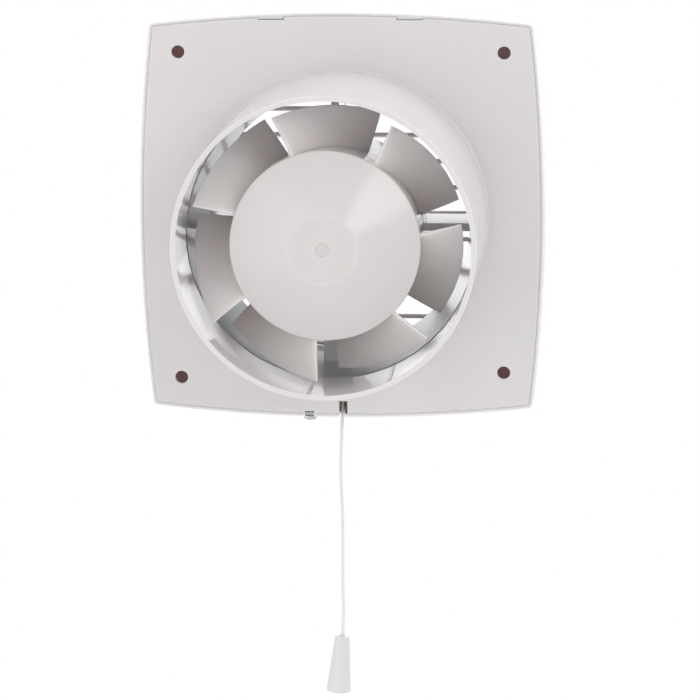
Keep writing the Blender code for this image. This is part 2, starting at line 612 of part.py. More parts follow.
def make_casing():
    """Back plate and duct spigot in one moulding, with posts for what is screwed to its front."""
    casing = add_object("casing", prism(bowed_outline(PLATE_INSET, PLATE_CORNER), PLATE_FRONT, 0), WHITE)

    under = 0.02 * mm
    fillet = arc((DUCT_RADIUS + DUCT_FILLET, DUCT_FILLET), DUCT_FILLET, 270, 180, 3)
    root = [(0, PLATE_FRONT / 2), (DUCT_RADIUS + DUCT_FILLET, PLATE_FRONT / 2)]
    end = [(DUCT_RADIUS, DUCT_LENGTH - DUCT_EDGE), (DUCT_RADIUS - DUCT_EDGE, DUCT_LENGTH), (0, DUCT_LENGTH)]
    spigot = turned(root + [(r, y - under) for r, y in fillet] + end)
    rib_front = PLATE_FRONT - RIB_HEIGHT
    rib_low, rib_high = PLATE_INSET + RIB_INSET, PLATE_INSET + RIB_INSET + RIB_WIDTH
    rib_rings = [(rib_low, PLATE_FRONT + EMBED), (rib_low, rib_front), (rib_high, rib_front),
                 (rib_high, PLATE_FRONT + EMBED)]
    rib = loft([[(x, y, z) for x, z in bowed_outline(inset)] for inset, y in rib_rings], closed=True)
    fuse(casing, [spigot, rib])

    post_root = PLATE_FRONT + EMBED
    posts = [rod((x * SWITCH_EAR_X, post_root, SWITCH_EAR_Z), (x * SWITCH_EAR_X, SWITCH_SEAT, SWITCH_EAR_Z),
                 SWITCH_POST) for x in (1, -1)]
    posts += [rod((x, post_root, z), (x, CLAMP_SEAT, z), CLAMP_POST) for x, z in clamp_posts()]
    boss_top = bottom_at(PLATE_INSET, COVER_SCREW_X) + COVER_SCREW_LENGTH
    boss_half = SCREW_RADIUS + GAP + BOSS_WALL
    boss_foot = bottom_at(PLATE_INSET, COVER_SCREW_X) + BOSS_RISE
    boss = block((COVER_SCREW_X - boss_half, COVER_SCREW_Y - boss_half, boss_foot),
                 (COVER_SCREW_X + boss_half, post_root, boss_top))
    fuse(casing, posts + [boss])

    edge = bottom_at(PLATE_INSET, 0)
    bore = rod((0, rib_front - REACH, 0), (0, DUCT_LENGTH + REACH, 0), BORE_RADIUS, ROUND_COUNT)
    holes = [rod((x, PLATE_FRONT - REACH, z), (x, REACH, z), HOLE_RADIUS, MEDIUM_COUNT) for x, z in hole_places()]
    ear_holes = [rod((x, PLATE_FRONT - REACH, z), (x, -BLIND, z), SCREW_RADIUS + GAP) for x, z in ear_places()]
    knockout = rod((KNOCKOUT_X, PLATE_FRONT - REACH, CLAMP_Z), (KNOCKOUT_X, -KNOCKOUT_SKIN, CLAMP_Z),
                   KNOCKOUT_RADIUS, MEDIUM_COUNT)
    cord_notch = block((NOTCH_X - NOTCH_HALF, rib_front - REACH, edge - REACH),
                       (NOTCH_X + NOTCH_HALF, REACH, NOTCH_TOP))
    screw_notch = block((COVER_SCREW_X - SCREW_NOTCH_HALF, PLATE_FRONT - REACH, edge - REACH),
                        (COVER_SCREW_X + SCREW_NOTCH_HALF, REACH, edge + SCREW_NOTCH_HEIGHT))
    relief = block((RELIEF_CENTRE - RELIEF_WIDTH / 2, -RELIEF_DEPTH, edge - REACH),
                   (RELIEF_CENTRE + RELIEF_WIDTH / 2, REACH, edge + RELIEF_HEIGHT))
    clips = [block((x * CLIP_CENTRE - CLIP_WIDTH / 2, PLATE_FRONT - REACH, clip_floor()),
                   (x * CLIP_CENTRE + CLIP_WIDTH / 2, REACH, -edge + REACH)) for x in (1, -1)]
    switch_holes = [rod((x * SWITCH_EAR_X, SWITCH_SEAT - REACH, SWITCH_EAR_Z),
                        (x * SWITCH_EAR_X, -BLIND, SWITCH_EAR_Z), SCREW_RADIUS + GAP) for x in (1, -1)]
    clamp_holes = [rod((x, CLAMP_SEAT - REACH, z), (x, -BLIND, z), SMALL_SCREW + GAP) for x, z in clamp_posts()]
    boss_hole = rod((COVER_SCREW_X, COVER_SCREW_Y, edge - REACH),
                    (COVER_SCREW_X, COVER_SCREW_Y, boss_top - BLIND), SCREW_RADIUS + GAP)
    cut(casing, [bore, knockout, cord_notch, screw_notch, relief, boss_hole]
        + holes + ear_holes + clips + switch_holes + clamp_holes)
    return casing


# Front cover and louvre

def make_cover_frame():
    """Shell that wraps round the plate, with a rounded front edge and a square window for the louvre."""
    crown, wall = COVER_CROWN, COVER_WALL
    outer_crown = arc((crown, COVER_FACE + crown), crown, 180, 270, CROWN_COUNT)
    inner_crown = arc((crown, COVER_FACE + crown), crown - wall, 270, 180, CROWN_COUNT)
    profile = [(0, -COVER_SETBACK)] + outer_crown + [
        (WINDOW_INSET - WINDOW_EDGE, COVER_FACE), (WINDOW_INSET, COVER_FACE + WINDOW_EDGE),
        (WINDOW_INSET, COVER_INNER)] + inner_crown + [(wall, -COVER_SETBACK)]
    rings = []
    for inset, y in profile:
        corner = max(CORNER_RADIUS - inset, PLATE_CORNER) if inset < crown / 2 else WINDOW_CORNER
        rings.append([(x, y, z) for x, z in bowed_outline(inset, corner)])
    cover = add_object("cover_frame", loft(rings, closed=True), WHITE)

    inside = side_at(COVER_HALF_HEIGHT, wall, CLIP_CENTRE - CLIP_WIDTH / 2)
    hooks = [block((x * CLIP_CENTRE - CLIP_WIDTH / 2 + GAP, -HOOK_LENGTH, clip_floor() + GAP),
                   (x * CLIP_CENTRE + CLIP_WIDTH / 2 - GAP, -COVER_SETBACK, inside + EMBED)) for x in (1, -1)]
    fuse(cover, hooks)

    low = bottom_at(0, 0) - REACH
    high = bottom_at(wall, 0) + 2 * REACH
    slot = block((CORD_X - CORD_SLOT_HALF, SWITCH_Y - CORD_SLOT_DEPTH, low), (CORD_X + CORD_SLOT_HALF, REACH, high))
    notch = block((COVER_SCREW_X - SCREW_NOTCH_HALF, COVER_SCREW_Y + SCREW_RADIUS + SCREW_NOTCH_START, low),
                  (COVER_SCREW_X + SCREW_NOTCH_HALF, REACH, high))
    hole = rod((COVER_SCREW_X, COVER_SCREW_Y, low), (COVER_SCREW_X, COVER_SCREW_Y, high), SCREW_RADIUS + GAP)
    cut(cover, [slot, notch, hole])
    return cover


def make_cover_louvre():
    """Clip-in panel: a ring with a lip behind the cover's face, and level slats across it."""
    outer = WINDOW_INSET + GAP
    inner = outer + LOUVRE_RING
    lip_front = COVER_INNER + GAP
    lip_rear = lip_front + LIP_THICKNESS
    slat_rear = COVER_FACE + SLAT_SETBACK + SLAT_DEPTH
    ring_front, ring_rear = COVER_FACE + LOUVRE_SETBACK, slat_rear + RING_STEP
    profile = [(outer, ring_front), (outer, lip_front), (outer - LOUVRE_LIP, lip_front),
               (outer - LOUVRE_LIP, lip_rear), (outer + RING_STEP, lip_rear), (outer + RING_STEP, ring_rear),
               (inner, ring_rear), (inner, ring_front)]
    ring = loft([[(x, y, z) for x, z in bowed_outline(inset, LOUVRE_CORNER)] for inset, y in profile], closed=True)
    louvre = add_object("cover_louvre", ring, WHITE)

    top = side_at(COVER_HALF_HEIGHT, inner, 0)
    pitch = 2 * top / (SLAT_COUNT + 1)
    half = SLAT_THICKNESS / 2
    nose = 0.5 * half
    rear, front = slat_rear, slat_rear - SLAT_DEPTH
    slats = []
    for i in range(SLAT_COUNT):
        z = (i - (SLAT_COUNT - 1) / 2) * pitch
        section = [(rear, z + nose), (rear - half, z + half), (front + half, z + half - SLAT_DROP),
                   (front, z + nose - SLAT_DROP), (front, z - nose - SLAT_DROP),
                   (front + half, z - half - SLAT_DROP), (rear - half, z - half), (rear, z - nose)]
        reach = side_at(COVER_HALF_WIDTH, inner, z) + LOUVRE_RING / 2
        slats.append(loft([[(x, y, z) for y, z in section] for x in (-reach, reach)]))
    backbone = block((-BACKBONE_HALF, rear - SLAT_DEPTH / 2, -top - LOUVRE_RING / 2),
                     (BACKBONE_HALF, rear - SLAT_DEPTH / 10, top + LOUVRE_RING / 2))
    fuse(louvre, slats + [backbone])
    return louvre


# Motor carrier

def strut(width, turn):
    """Flat strut from the cup's wall to the middle of the ring's tapered wall, turned about the duct's axis."""
    slope = RING_TAPER / (RING_REAR - THROAT_Y)
    inner = CUP_RADIUS - CUP_DRAFT - CUP_WALL / 2
    throat = THROAT_RADIUS + RING_WALL / 2
    outline = [(inner, STRUT_FRONT), (throat + STRUT_TOE, STRUT_FRONT), (throat, THROAT_Y),
               (throat + slope * (STRUT_DEPTH - THROAT_Y), STRUT_DEPTH), (inner, STRUT_DEPTH)]
    solid = loft([[(r, y, z) for r, y in outline] for z in (-width / 2, width / 2)])
    return moved(solid, Matrix.Rotation(math.radians(turn), 4, "Y"))


def make_motor_carrier():
    """Tapered inlet ring, motor cup and the struts between them, screwed to the plate from the front."""
    throat = THROAT_RADIUS
    ring = turned([(RING_RADIUS, RING_REAR), (RING_RADIUS - RING_LIP, RING_REAR), (throat, THROAT_Y),
                   (throat + MOUTH_START, THROAT_Y / 4), (throat + MOUTH_MIDDLE, FLANGE_REAR),
                   (throat + MOUTH_FLARE, FLANGE_FRONT), (FLANGE_RADIUS, FLANGE_FRONT), (FLANGE_RADIUS, FLANGE_REAR),
                   (RING_RADIUS, FLANGE_REAR), (RING_RADIUS, STRUT_FRONT), (throat + RING_WALL, THROAT_Y)])
    carrier = add_object("motor_carrier", ring, WHITE)

    foot = CUP_RADIUS - CUP_DRAFT
    floor = CUP_WALL
    cup = turned([(0, 0), (foot - CUP_ROUND, 0), (foot, CUP_ROUND), (CUP_RADIUS, CUP_REAR),
                  (CUP_RADIUS - CUP_WALL, CUP_REAR), (foot - CUP_WALL, floor), (0, floor)])
    struts = [strut(STRUT_THICKNESS, turn) for turn in (0, -90, 180)]
    channel = strut(CHANNEL_WIDTH, 90)
    posts = [rod((x, floor - EMBED, z), (x, POST_TOP, z), POST_RADIUS) for x, z in screw_places()]
    ears = [rod((x, EAR_REAR, z), (x, EAR_FRONT, z), EAR_RADIUS, MEDIUM_COUNT) for x, z in ear_places()]
    fuse(carrier, [cup, channel] + struts + posts + ears)

    room = CHANNEL_WIDTH / 2 - CHANNEL_WALL
    trough = block((-room, -REACH, -THROAT_RADIUS + STRUT_TOE),
                   (room, STRUT_DEPTH - CHANNEL_WALL, -CUP_RADIUS - CHANNEL_END))
    doorway = block((-room, DOOR_FRONT, -CUP_RADIUS - REACH), (room, DOOR_REAR, -CUP_RADIUS + CUP_WALL + REACH))
    ear_holes = [rod((x, EAR_REAR + REACH, z), (x, EAR_FRONT - REACH, z), SCREW_RADIUS + GAP)
                 for x, z in ear_places()]
    hole_end = POST_TOP - POST_GRIP - 2 * GAP
    post_holes = [rod((x, POST_TOP + REACH, z), (x, hole_end, z), MOTOR_SCREW_RADIUS + GAP)
                  for x, z in screw_places()]
    vent = block((VENT_INNER, -REACH, -VENT_WIDTH / 2), (VENT_OUTER, floor + REACH, VENT_WIDTH / 2))
    vents = [moved(vent.copy(), Matrix.Rotation((i + 0.5) * math.tau / VENT_COUNT, 4, "Y"))
             for i in range(VENT_COUNT)]
    vent.free()
    cut(carrier, [trough, doorway] + ear_holes + post_holes + vents)
    return carrier


# Impeller

def blade(index):
    """One helical blade with camber: sections on cylinders, lofted from inside the hub's skirt to the tip."""
    chord_steps = 6
    stations = 3
    base_angle = BLADE_REAR_ANGLE - index * math.tau / BLADE_COUNT
    rise = BLADE_REAR - BLADE_FRONT
    root_radius = HUB_RADIUS - BLADE_ROOT
    rings = []
    for outward in spread(0, 1, stations - 1):
        thickness = BLADE_ROOT_THICKNESS + (BLADE_TIP_THICKNESS - BLADE_ROOT_THICKNESS) * outward
        upper, lower = [], []
        for s in spread(0, 1, chord_steps):
            tip = BLADE_TIP_REAR + (BLADE_TIP_FRONT - BLADE_TIP_REAR) * s
            radius = root_radius + (tip - root_radius) * outward
            angle = base_angle + BLADE_LEAN * (1 - outward) + BLADE_TURN * s
            y = BLADE_REAR - rise * (s + BLADE_CAMBER * s * (1 - s))
            slope_y = -rise * (1 + BLADE_CAMBER * (1 - 2 * s))
            slope_arc = radius * BLADE_TURN
            length = math.hypot(slope_y, slope_arc)
            half = 0.5 * thickness * (0.4 + 0.6 * math.sqrt(math.sin(math.pi * s)))
            for side, points in ((1, upper), (-1, lower)):
                shift_angle = -side * half * slope_y / length / radius
                shift_y = side * half * slope_arc / length
                turn = angle + shift_angle
                points.append((radius * math.cos(turn), y + shift_y, radius * math.sin(turn)))
        rings.append((upper, lower))
    return blade_skin(rings)


def blade_skin(rings):
    """Quads over a blade's two faces, its edges, its root and its tip."""
    bm = bmesh.new()
    grids = [[[bm.verts.new(p) for p in row] for row in ring] for ring in rings]
    for inner, outer in zip(grids, grids[1:]):
        for face in (0, 1):
            for i in range(len(inner[face]) - 1):
                bm.faces.new((inner[face][i], inner[face][i + 1], outer[face][i + 1], outer[face][i]))
        for i in (0, -1):
            bm.faces.new((inner[0][i], outer[0][i], outer[1][i], inner[1][i]))
    for upper, lower in (grids[0], grids[-1]):
        for i in range(len(upper) - 1):
            bm.faces.new((upper[i], upper[i + 1], lower[i + 1], lower[i]))
    return fresh(bm)


def make_impeller():
    """Hollow hub with a shallow cone, ribs inside it, and seven blades round its skirt."""
    front = HUB_RADIUS - HUB_DRAFT
    wall = HUB_WALL
    dimple = HUB_TOP - DIMPLE_DEPTH
    ceiling = HUB_TOP - HUB_CROWN_WALL
    slope = (HUB_TOP - HUB_EDGE) / (HUB_RADIUS - HUB_FLAT)
    hub = turned([(0, SHAFT_REAR + GAP), (BORE, SHAFT_REAR + GAP), (BORE, BOSS_FRONT), (BOSS_RADIUS, BOSS_FRONT),
                  (BOSS_RADIUS, ceiling), (HUB_FLAT, ceiling), (HUB_INNER, HUB_EDGE - wall),
                  (front - wall, HUB_FRONT), (front, HUB_FRONT), (HUB_RADIUS, HUB_EDGE - HUB_ROUND),
                  (HUB_RADIUS - 0.4 * HUB_ROUND, HUB_EDGE - 0.3 * HUB_ROUND),
                  (HUB_RADIUS - 1.2 * HUB_ROUND, HUB_EDGE + 0.5 * slope * HUB_ROUND),
                  (HUB_FLAT + HUB_FLAT_EDGE, HUB_TOP - slope * HUB_FLAT_EDGE - slope * 0.5 * HUB_FLAT_EDGE),
                  (HUB_FLAT, HUB_TOP - 0.4 * slope * HUB_FLAT_EDGE), (HUB_FLAT - HUB_FLAT_EDGE, HUB_TOP),
                  (DIMPLE_RADIUS + DIMPLE_EDGE, HUB_TOP), (DIMPLE_RADIUS, dimple), (0, dimple)])
    impeller = add_object("impeller", hub, IMPELLER_GREY)

    section = [(BOSS_RADIUS - EMBED, HUB_RIB_FRONT), (HUB_INNER + EMBED - HUB_DRAFT, HUB_RIB_FRONT),
               (HUB_INNER + EMBED - HUB_DRAFT, HUB_EDGE - wall), (HUB_FLAT, HUB_TOP - wall),
               (BOSS_RADIUS - EMBED, HUB_TOP - wall)]
    rib = loft([[(r, y, z) for r, y in section] for z in (-HUB_RIB / 2, HUB_RIB / 2)])
    ribs = [moved(rib.copy(), Matrix.Rotation(i * math.tau / BLADE_COUNT, 4, "Y"))
            for i in range(BLADE_COUNT)]
    rib.free()
    fuse(impeller, ribs + [blade(i) for i in range(BLADE_COUNT)])
    return impeller


# Motor

def screw_places():
    return [(sx * MOTOR_SCREW_X, sz * MOTOR_SCREW_Z) for sx in (1, -1) for sz in (1, -1)]


def make_stator():
    """Lamination yoke, and the bar that carries the coil across its open bottom."""
    w, top, bottom, chamfer = STACK_HALF_WIDTH, STACK_TOP, STACK_BOTTOM, STACK_CHAMFER
    outline = [(-w, bottom), (w, bottom), (w, top - chamfer), (w - chamfer, top), (-w + chamfer, top),
               (-w, top - chamfer)]
    yoke = add_object("stator_yoke", prism(outline, STACK_FRONT, STACK_REAR), LAMINATION)
    bore = rod((0, STACK_FRONT - REACH, 0), (0, STACK_REAR + REACH, 0), ROTOR_RADIUS + AIR_GAP, MEDIUM_COUNT)
    window = block((-WINDOW_HALF, STACK_FRONT - REACH, bottom - REACH),
                   (WINDOW_HALF, STACK_REAR + REACH, WINDOW_TOP))
    holes = [rod((x, STACK_FRONT - REACH, z), (x, STACK_REAR + REACH, z), MOTOR_SCREW_RADIUS + GAP)
             for x, z in screw_places()]
    cut(yoke, [bore, window] + holes)
    bar = block((-WINDOW_HALF + GAP, STACK_FRONT, bottom), (WINDOW_HALF - GAP, STACK_REAR, bottom + BAR_HEIGHT))
    add_object("stator_bar", bar, LAMINATION)


def make_coil():
    """Bobbin round the bar, and the winding between its flanges."""
    half_y, half_z = STACK_LENGTH / 2, BAR_HEIGHT / 2
    middle = STACK_BOTTOM + half_z
    tube = GAP + BOBBIN_WALL
    flange = tube + GAP + COIL_BUILD + FLANGE_EDGE
    outer_x = WINDOW_HALF - BOBBIN_END
    inner_x = outer_x - BOBBIN_WALL

    def frame(grow, x):
        return block((-x, MOTOR_Y - half_y - grow, middle - half_z - grow),
                     (x, MOTOR_Y + half_y + grow, middle + half_z + grow))

    bobbin = add_object("coil_bobbin", frame(tube, outer_x), NYLON)
    flanges = []
    for side in (1, -1):
        low, high = sorted((side * inner_x, side * outer_x))
        flanges.append(block((low, MOTOR_Y - half_y - flange, middle - half_z - flange),
                             (high, MOTOR_Y + half_y + flange, middle + half_z + flange)))
    fuse(bobbin, flanges)
    cut(bobbin, [frame(GAP, outer_x + REACH)])

    full = tube + GAP + COIL_BUILD
    coil = block((-inner_x + GAP, MOTOR_Y - half_y - full, middle - half_z - full),
                 (inner_x - GAP, MOTOR_Y + half_y + full, middle + half_z + full), COIL_EDGE)
    winding = add_object("coil_winding", coil, COPPER)
    cut(winding, [frame(tube + GAP, outer_x + REACH)])


def make_bracket(name, side):
    """Die-cast bridge with a bearing housing: side is -1 in front of the stack and 1 behind it."""
    def y(distance):
        return MOTOR_Y + side * distance

    seat, hole = BEARING_RADIUS + GAP, SHAFT_RADIUS + SHAFT_ROOM
    housing = turned([(seat, y(HOUSING_INNER)), (HOUSING_RADIUS, y(HOUSING_INNER)),
                      (HOUSING_RADIUS, y(HOUSING_OUTER)), (hole, y(HOUSING_OUTER)),
                      (hole, y(HOUSING_OUTER - HOUSING_LIP)), (seat, y(HOUSING_OUTER - HOUSING_LIP))], MEDIUM_COUNT)
    bracket = add_object(name, housing, ZINC)
    arms = []
    for x, z in screw_places():
        direction = Vector((x, 0, z)).normalized()
        across = Vector((-direction.z, 0, direction.x)) * BRACKET_ARM / 2
        near = direction * (BEARING_RADIUS + ARM_ROOT)
        far = Vector((x, 0, z))
        corners = [near + across, near - across, far - across, far + across]
        depths = (BRACKET_INNER + BRACKET_STEP, BRACKET_OUTER - BRACKET_STEP)
        arms.append(loft([[(c.x, y(d), c.z) for c in corners] for d in depths]))
    feet = [rod((x, y(FOOT_FACE), z), (x, y(BRACKET_OUTER), z), FOOT_RADIUS) for x, z in screw_places()]
    fuse(bracket, arms + feet)
    holes = [rod((x, y(FOOT_FACE - REACH), z), (x, y(BRACKET_OUTER + REACH), z), MOTOR_SCREW_RADIUS + GAP)
             for x, z in screw_places()]
    cut(bracket, holes)


def make_bearing(name, side):
    """Sintered bush with chamfered ends, seated against the housing's lip."""
    outer = MOTOR_Y + side * (HOUSING_OUTER - HOUSING_LIP - GAP)
    inner = outer - side * BEARING_LENGTH
    low, high = sorted((inner, outer))
    edge = BEARING_EDGE
    bush = turned([(BORE, low), (BEARING_RADIUS - edge, low), (BEARING_RADIUS, low + edge),
                   (BEARING_RADIUS, high - edge), (BEARING_RADIUS - edge, high), (BORE, high)], MEDIUM_COUNT)
    add_object(name, bush, BRONZE)


def make_rotor():
    half = STACK_LENGTH / 2
    end = half + ROTOR_CAP
    inner = ROTOR_RADIUS - ROTOR_EDGE
    body = turned([(BORE, MOTOR_Y - end), (inner, MOTOR_Y - end), (ROTOR_RADIUS, MOTOR_Y - half),
                   (ROTOR_RADIUS, MOTOR_Y + half), (inner, MOTOR_Y + end), (BORE, MOTOR_Y + end)], MEDIUM_COUNT)
    return add_object("rotor", body, STEEL)


def make_shaft():
    edge = SHAFT_EDGE
    profile = [(0, SHAFT_FRONT), (SHAFT_RADIUS - edge, SHAFT_FRONT), (SHAFT_RADIUS, SHAFT_FRONT + edge),
               (SHAFT_RADIUS, SHAFT_REAR - edge), (SHAFT_RADIUS - edge, SHAFT_REAR), (0, SHAFT_REAR)]
    return add_object("motor_shaft", turned(profile, MEDIUM_COUNT), STEEL)


def make_impeller_clip():
    """Push-on ring that keeps the impeller's boss from creeping forward."""
    rear = BOSS_FRONT - GAP
    front = rear - CLIP_RING
    outer = BOSS_RADIUS - CLIP_RING_STEP
    ring = turned([(BORE, front), (outer, front), (outer, rear), (BORE, rear)], MEDIUM_COUNT)
    return add_object("impeller_clip", ring, STEEL)


def make_motor_screws():
    length = 2 * BRACKET_OUTER + POST_GRIP + GAP
    head_y = MOTOR_Y + BRACKET_OUTER + GAP
    long_screw = screw(length, MOTOR_SCREW_RADIUS, MOTOR_SCREW_HEAD, MOTOR_SCREW_DOME)
    placements = [Matrix.Translation((x, head_y, z)) for x, z in screw_places()]
    add_copies("motor_screw", long_screw, STEEL, placements)


def make_carrier_screws():
    seats = [(x, EAR_FRONT, z) for x, z in ear_places()]
    add_copies("carrier_screw", screw(-EAR_FRONT - BLIND), STEEL, facing_room(seats))


def facing_room(seats):
    """Placements of screws whose heads face the room, each a gap in front of its seat."""
    return [Matrix.Translation((x, y - GAP, z)) @ Matrix.Rotation(math.pi, 4, "X") for x, y, z in seats]


# Pull switch

def make_switch_body():
    """Switch housing with a round cavity for the sprung plunger and two ears on the plate's posts."""
    front = SWITCH_Y - CAVITY_RADIUS - CAVITY_WALL
    rear = PLATE_FRONT - GAP
    body = add_object("switch_body", block((-SWITCH_HALF_WIDTH, front, SWITCH_BOTTOM),
                                           (SWITCH_HALF_WIDTH, rear, SWITCH_TOP), SWITCH_EDGE), NYLON)
    seat = SWITCH_SEAT - GAP
    ears = block((-SWITCH_EAR_X - SWITCH_POST, seat - SWITCH_EAR, SWITCH_EAR_Z - SWITCH_POST),
                 (SWITCH_EAR_X + SWITCH_POST, seat, SWITCH_EAR_Z + SWITCH_POST))
    fuse(body, [ears])
    cavity = rod((CORD_X, SWITCH_Y, CAVITY_FLOOR), (CORD_X, SWITCH_Y, CAVITY_TOP), CAVITY_RADIUS, MEDIUM_COUNT)
    outlet = rod((CORD_X, SWITCH_Y, SWITCH_BOTTOM - REACH), (CORD_X, SWITCH_Y, CAVITY_FLOOR + REACH),
                 PLUNGER_RADIUS + GAP, MEDIUM_COUNT)
    ear_holes = [rod((side * SWITCH_EAR_X, seat + REACH, SWITCH_EAR_Z),
                     (side * SWITCH_EAR_X, seat - SWITCH_EAR - REACH, SWITCH_EAR_Z), SCREW_RADIUS + GAP)
                 for side in (1, -1)]
    tab_y, tab_z = TAB_THICKNESS / 2 + GAP, TAB_WIDTH / 2 + GAP
    tab_slots = [block((-SWITCH_HALF_WIDTH - REACH, y - tab_y, z - tab_z),
                       (-SWITCH_HALF_WIDTH + TAB_IN + GAP, y + tab_y, z + tab_z)) for y, z in tab_places()]
    cut(body, [cavity, outlet] + ear_holes + tab_slots)


def tab_places():
    """The two switch terminals on the switch's left side, as (y, z)."""
    return [(SWITCH_Y - TAB_FRONT, TAB_Z), (SWITCH_Y + TAB_BACK, TAB_Z)]


def make_switch_terminals():
    tab = block((-TAB_OUT, -TAB_THICKNESS / 2, -TAB_WIDTH / 2), (TAB_IN, TAB_THICKNESS / 2, TAB_WIDTH / 2))
    add_copies("switch_terminal", tab, BRASS,
               [Matrix.Translation((-SWITCH_HALF_WIDTH, y, z)) for y, z in tab_places()])


def make_switch_screws():
    seat = SWITCH_SEAT - GAP - SWITCH_EAR
    seats = [(x * SWITCH_EAR_X, seat, SWITCH_EAR_Z) for x in (1, -1)]
    add_copies("switch_screw", screw(-seat - BLIND, head=SWITCH_SCREW_HEAD), STEEL, facing_room(seats))


def make_plunger(home):
    """Capped plunger that the cord pulls down, with a socket for the cord's end."""
    top, under, end = CAP_TOP - home.z, CAP_BOTTOM - home.z, PLUNGER_END - home.z
    to_z = Matrix.Rotation(math.pi / 2, 4, "X")
    socket = CORD_RADIUS + GAP
    profile = [(0, top), (PLUNGER_CAP_RADIUS - PLUNGER_EDGE, top), (PLUNGER_CAP_RADIUS, top - PLUNGER_EDGE),
               (PLUNGER_CAP_RADIUS, under), (PLUNGER_RADIUS, under), (PLUNGER_RADIUS, end),
               (socket, end), (socket, end + CORD_SOCKET), (0, end + CORD_SOCKET)]
    return add_object("switch_plunger", moved(turned(profile, MEDIUM_COUNT), to_z), NYLON, home)


def make_spring(home):
    """Compression spring between the switch's floor and the plunger's cap."""
    low = CAVITY_FLOOR + SPRING_WIRE + GAP - home.z
    high = CAP_BOTTOM - SPRING_WIRE - GAP - home.z
    steps = SPRING_TURN_COUNT * 8
    turns = math.tau * SPRING_TURN_COUNT
    points = [(SPRING_RADIUS * math.cos(turns * t), SPRING_RADIUS * math.sin(turns * t), low + (high - low) * t)
              for t in spread(0, 1, steps)]
    return add_wire("switch_spring", points, SPRING_WIRE, STEEL, home, 1)


# Wires and cord

def smooth_route(points, step):
    """Evenly stepped points of a smooth curve through a route's own points."""
    route = [Vector(p) for p in points]
    route = [2 * route[0] - route[1]] + route + [2 * route[-1] - route[-2]]
    fine = []
    for a, b, c, d in zip(route, route[1:], route[2:], route[3:]):
        for t in spread(0, 1, 24)[:-1]:
            fine.append(0.5 * (2 * b + (c - a) * t + (2 * a - 5 * b + 4 * c - d) * t ** 2
                               + (3 * b - a - 3 * c + d) * t ** 3))
    fine.append(route[-2])
    length = sum((q - p).length for p, q in zip(fine, fine[1:]))
    count = max(2, round(length / step))
    marks = spread(0, length, count)
    even, travelled, i = [fine[0]], 0.0, 0
    for mark in marks[1:-1]:
        while travelled + (fine[i + 1] - fine[i]).length < mark:
            travelled += (fine[i + 1] - fine[i]).length
            i += 1
        part = (mark - travelled) / (fine[i + 1] - fine[i]).length
        even.append(fine[i].lerp(fine[i + 1], part))
    return even + [fine[-1]]


def add_wire(name, points, radius, finish, location=(0, 0, 0), resolution=2):
    """Round wire along points, with filled ends."""
    curve = bpy.data.curves.new(name, "CURVE")
    curve.dimensions = "3D"
    curve.bevel_depth = radius
    curve.bevel_resolution = resolution
    curve.use_fill_caps = True
    spline = curve.splines.new("POLY")
    spline.points.add(len(points) - 1)
    for point, place in zip(spline.points, points):
        point.co = (*place, 1)
    thing = bpy.data.objects.new(name, curve)
    thing.location = location
    bpy.context.scene.collection.objects.link(thing)
    dress(thing, finish)
    return thing


def knob_point(along, across=0.0):
    """World place on the knob's axis, measured down from its top."""
    return Vector((KNOB_TOP_X + along * math.sin(KNOB_TILT) + across * math.cos(KNOB_TILT), SWITCH_Y,
                   KNOB_TOP_Z - along * math.cos(KNOB_TILT)))


def cord_route():
    """The pull cord from the plunger's socket down into the knob, with a slight sway."""
    top = Vector((CORD_X, SWITCH_Y, PLUNGER_END + CORD_SOCKET - CORD_END))
    hanging = [Vector((CORD_X + aside * mm, SWITCH_Y, -COVER_HALF_HEIGHT - part * CORD_FREE))
               for part, aside in CORD_SWAY]
    return [top] + hanging + [knob_point(0), knob_point(CORD_BITE / 2), knob_point(CORD_BITE)]


def make_cord(home):
    points = [p - home for p in smooth_route(cord_route(), CORD_STEP)]
    return add_wire("pull_cord", points, CORD_RADIUS, CORD_WHITE, home)


def make_knob(home):
    """Tapered knob, hollow from below, with a flared hole for the cord in its top."""
    socket = CORD_RADIUS + GAP
    taper = (KNOB_BASE_RADIUS - KNOB_TOP_RADIUS) / KNOB_LENGTH
    inner_top = KNOB_TOP_RADIUS + taper * KNOB_CROWN - KNOB_WALL
    end, edge = -KNOB_LENGTH, KNOB_BASE_ROUND
    low_rim = arc((KNOB_BASE_RADIUS - edge, end + edge), edge, 0, -90, ROUNDING_COUNT)
    profile = [(socket, -KNOB_CROWN), (socket, -KNOB_FLARE_DEPTH), (socket + KNOB_FLARE, 0),
               (KNOB_TOP_RADIUS - KNOB_TOP_ROUND, 0), (KNOB_TOP_RADIUS, -KNOB_TOP_ROUND)] + low_rim + [
               (KNOB_BASE_RADIUS - KNOB_WALL - KNOB_LIP, end), (inner_top, -KNOB_CROWN)]
    upright = Matrix.Rotation(math.pi / 2, 4, "X")
    tilt = Matrix.Rotation(-KNOB_TILT, 4, "Y")
    shell = moved(turned(profile, MEDIUM_COUNT), Matrix.Translation(knob_point(0) - home) @ tilt @ upright)
    return add_object("cord_knob", shell, WHITE, home)


def make_cover_screw():
    """Screw up through the cover's bottom wall into the casing's boss."""
    seat = bottom_at(0, COVER_SCREW_X - SCREW_HEAD) - GAP
    upward = Matrix.Rotation(-math.pi / 2, 4, "X")
    place = Matrix.Translation((COVER_SCREW_X, COVER_SCREW_Y, seat)) @ upward
    add_copies("cover_screw", screw(COVER_SCREW_LENGTH), STEEL, [place])


# Connections

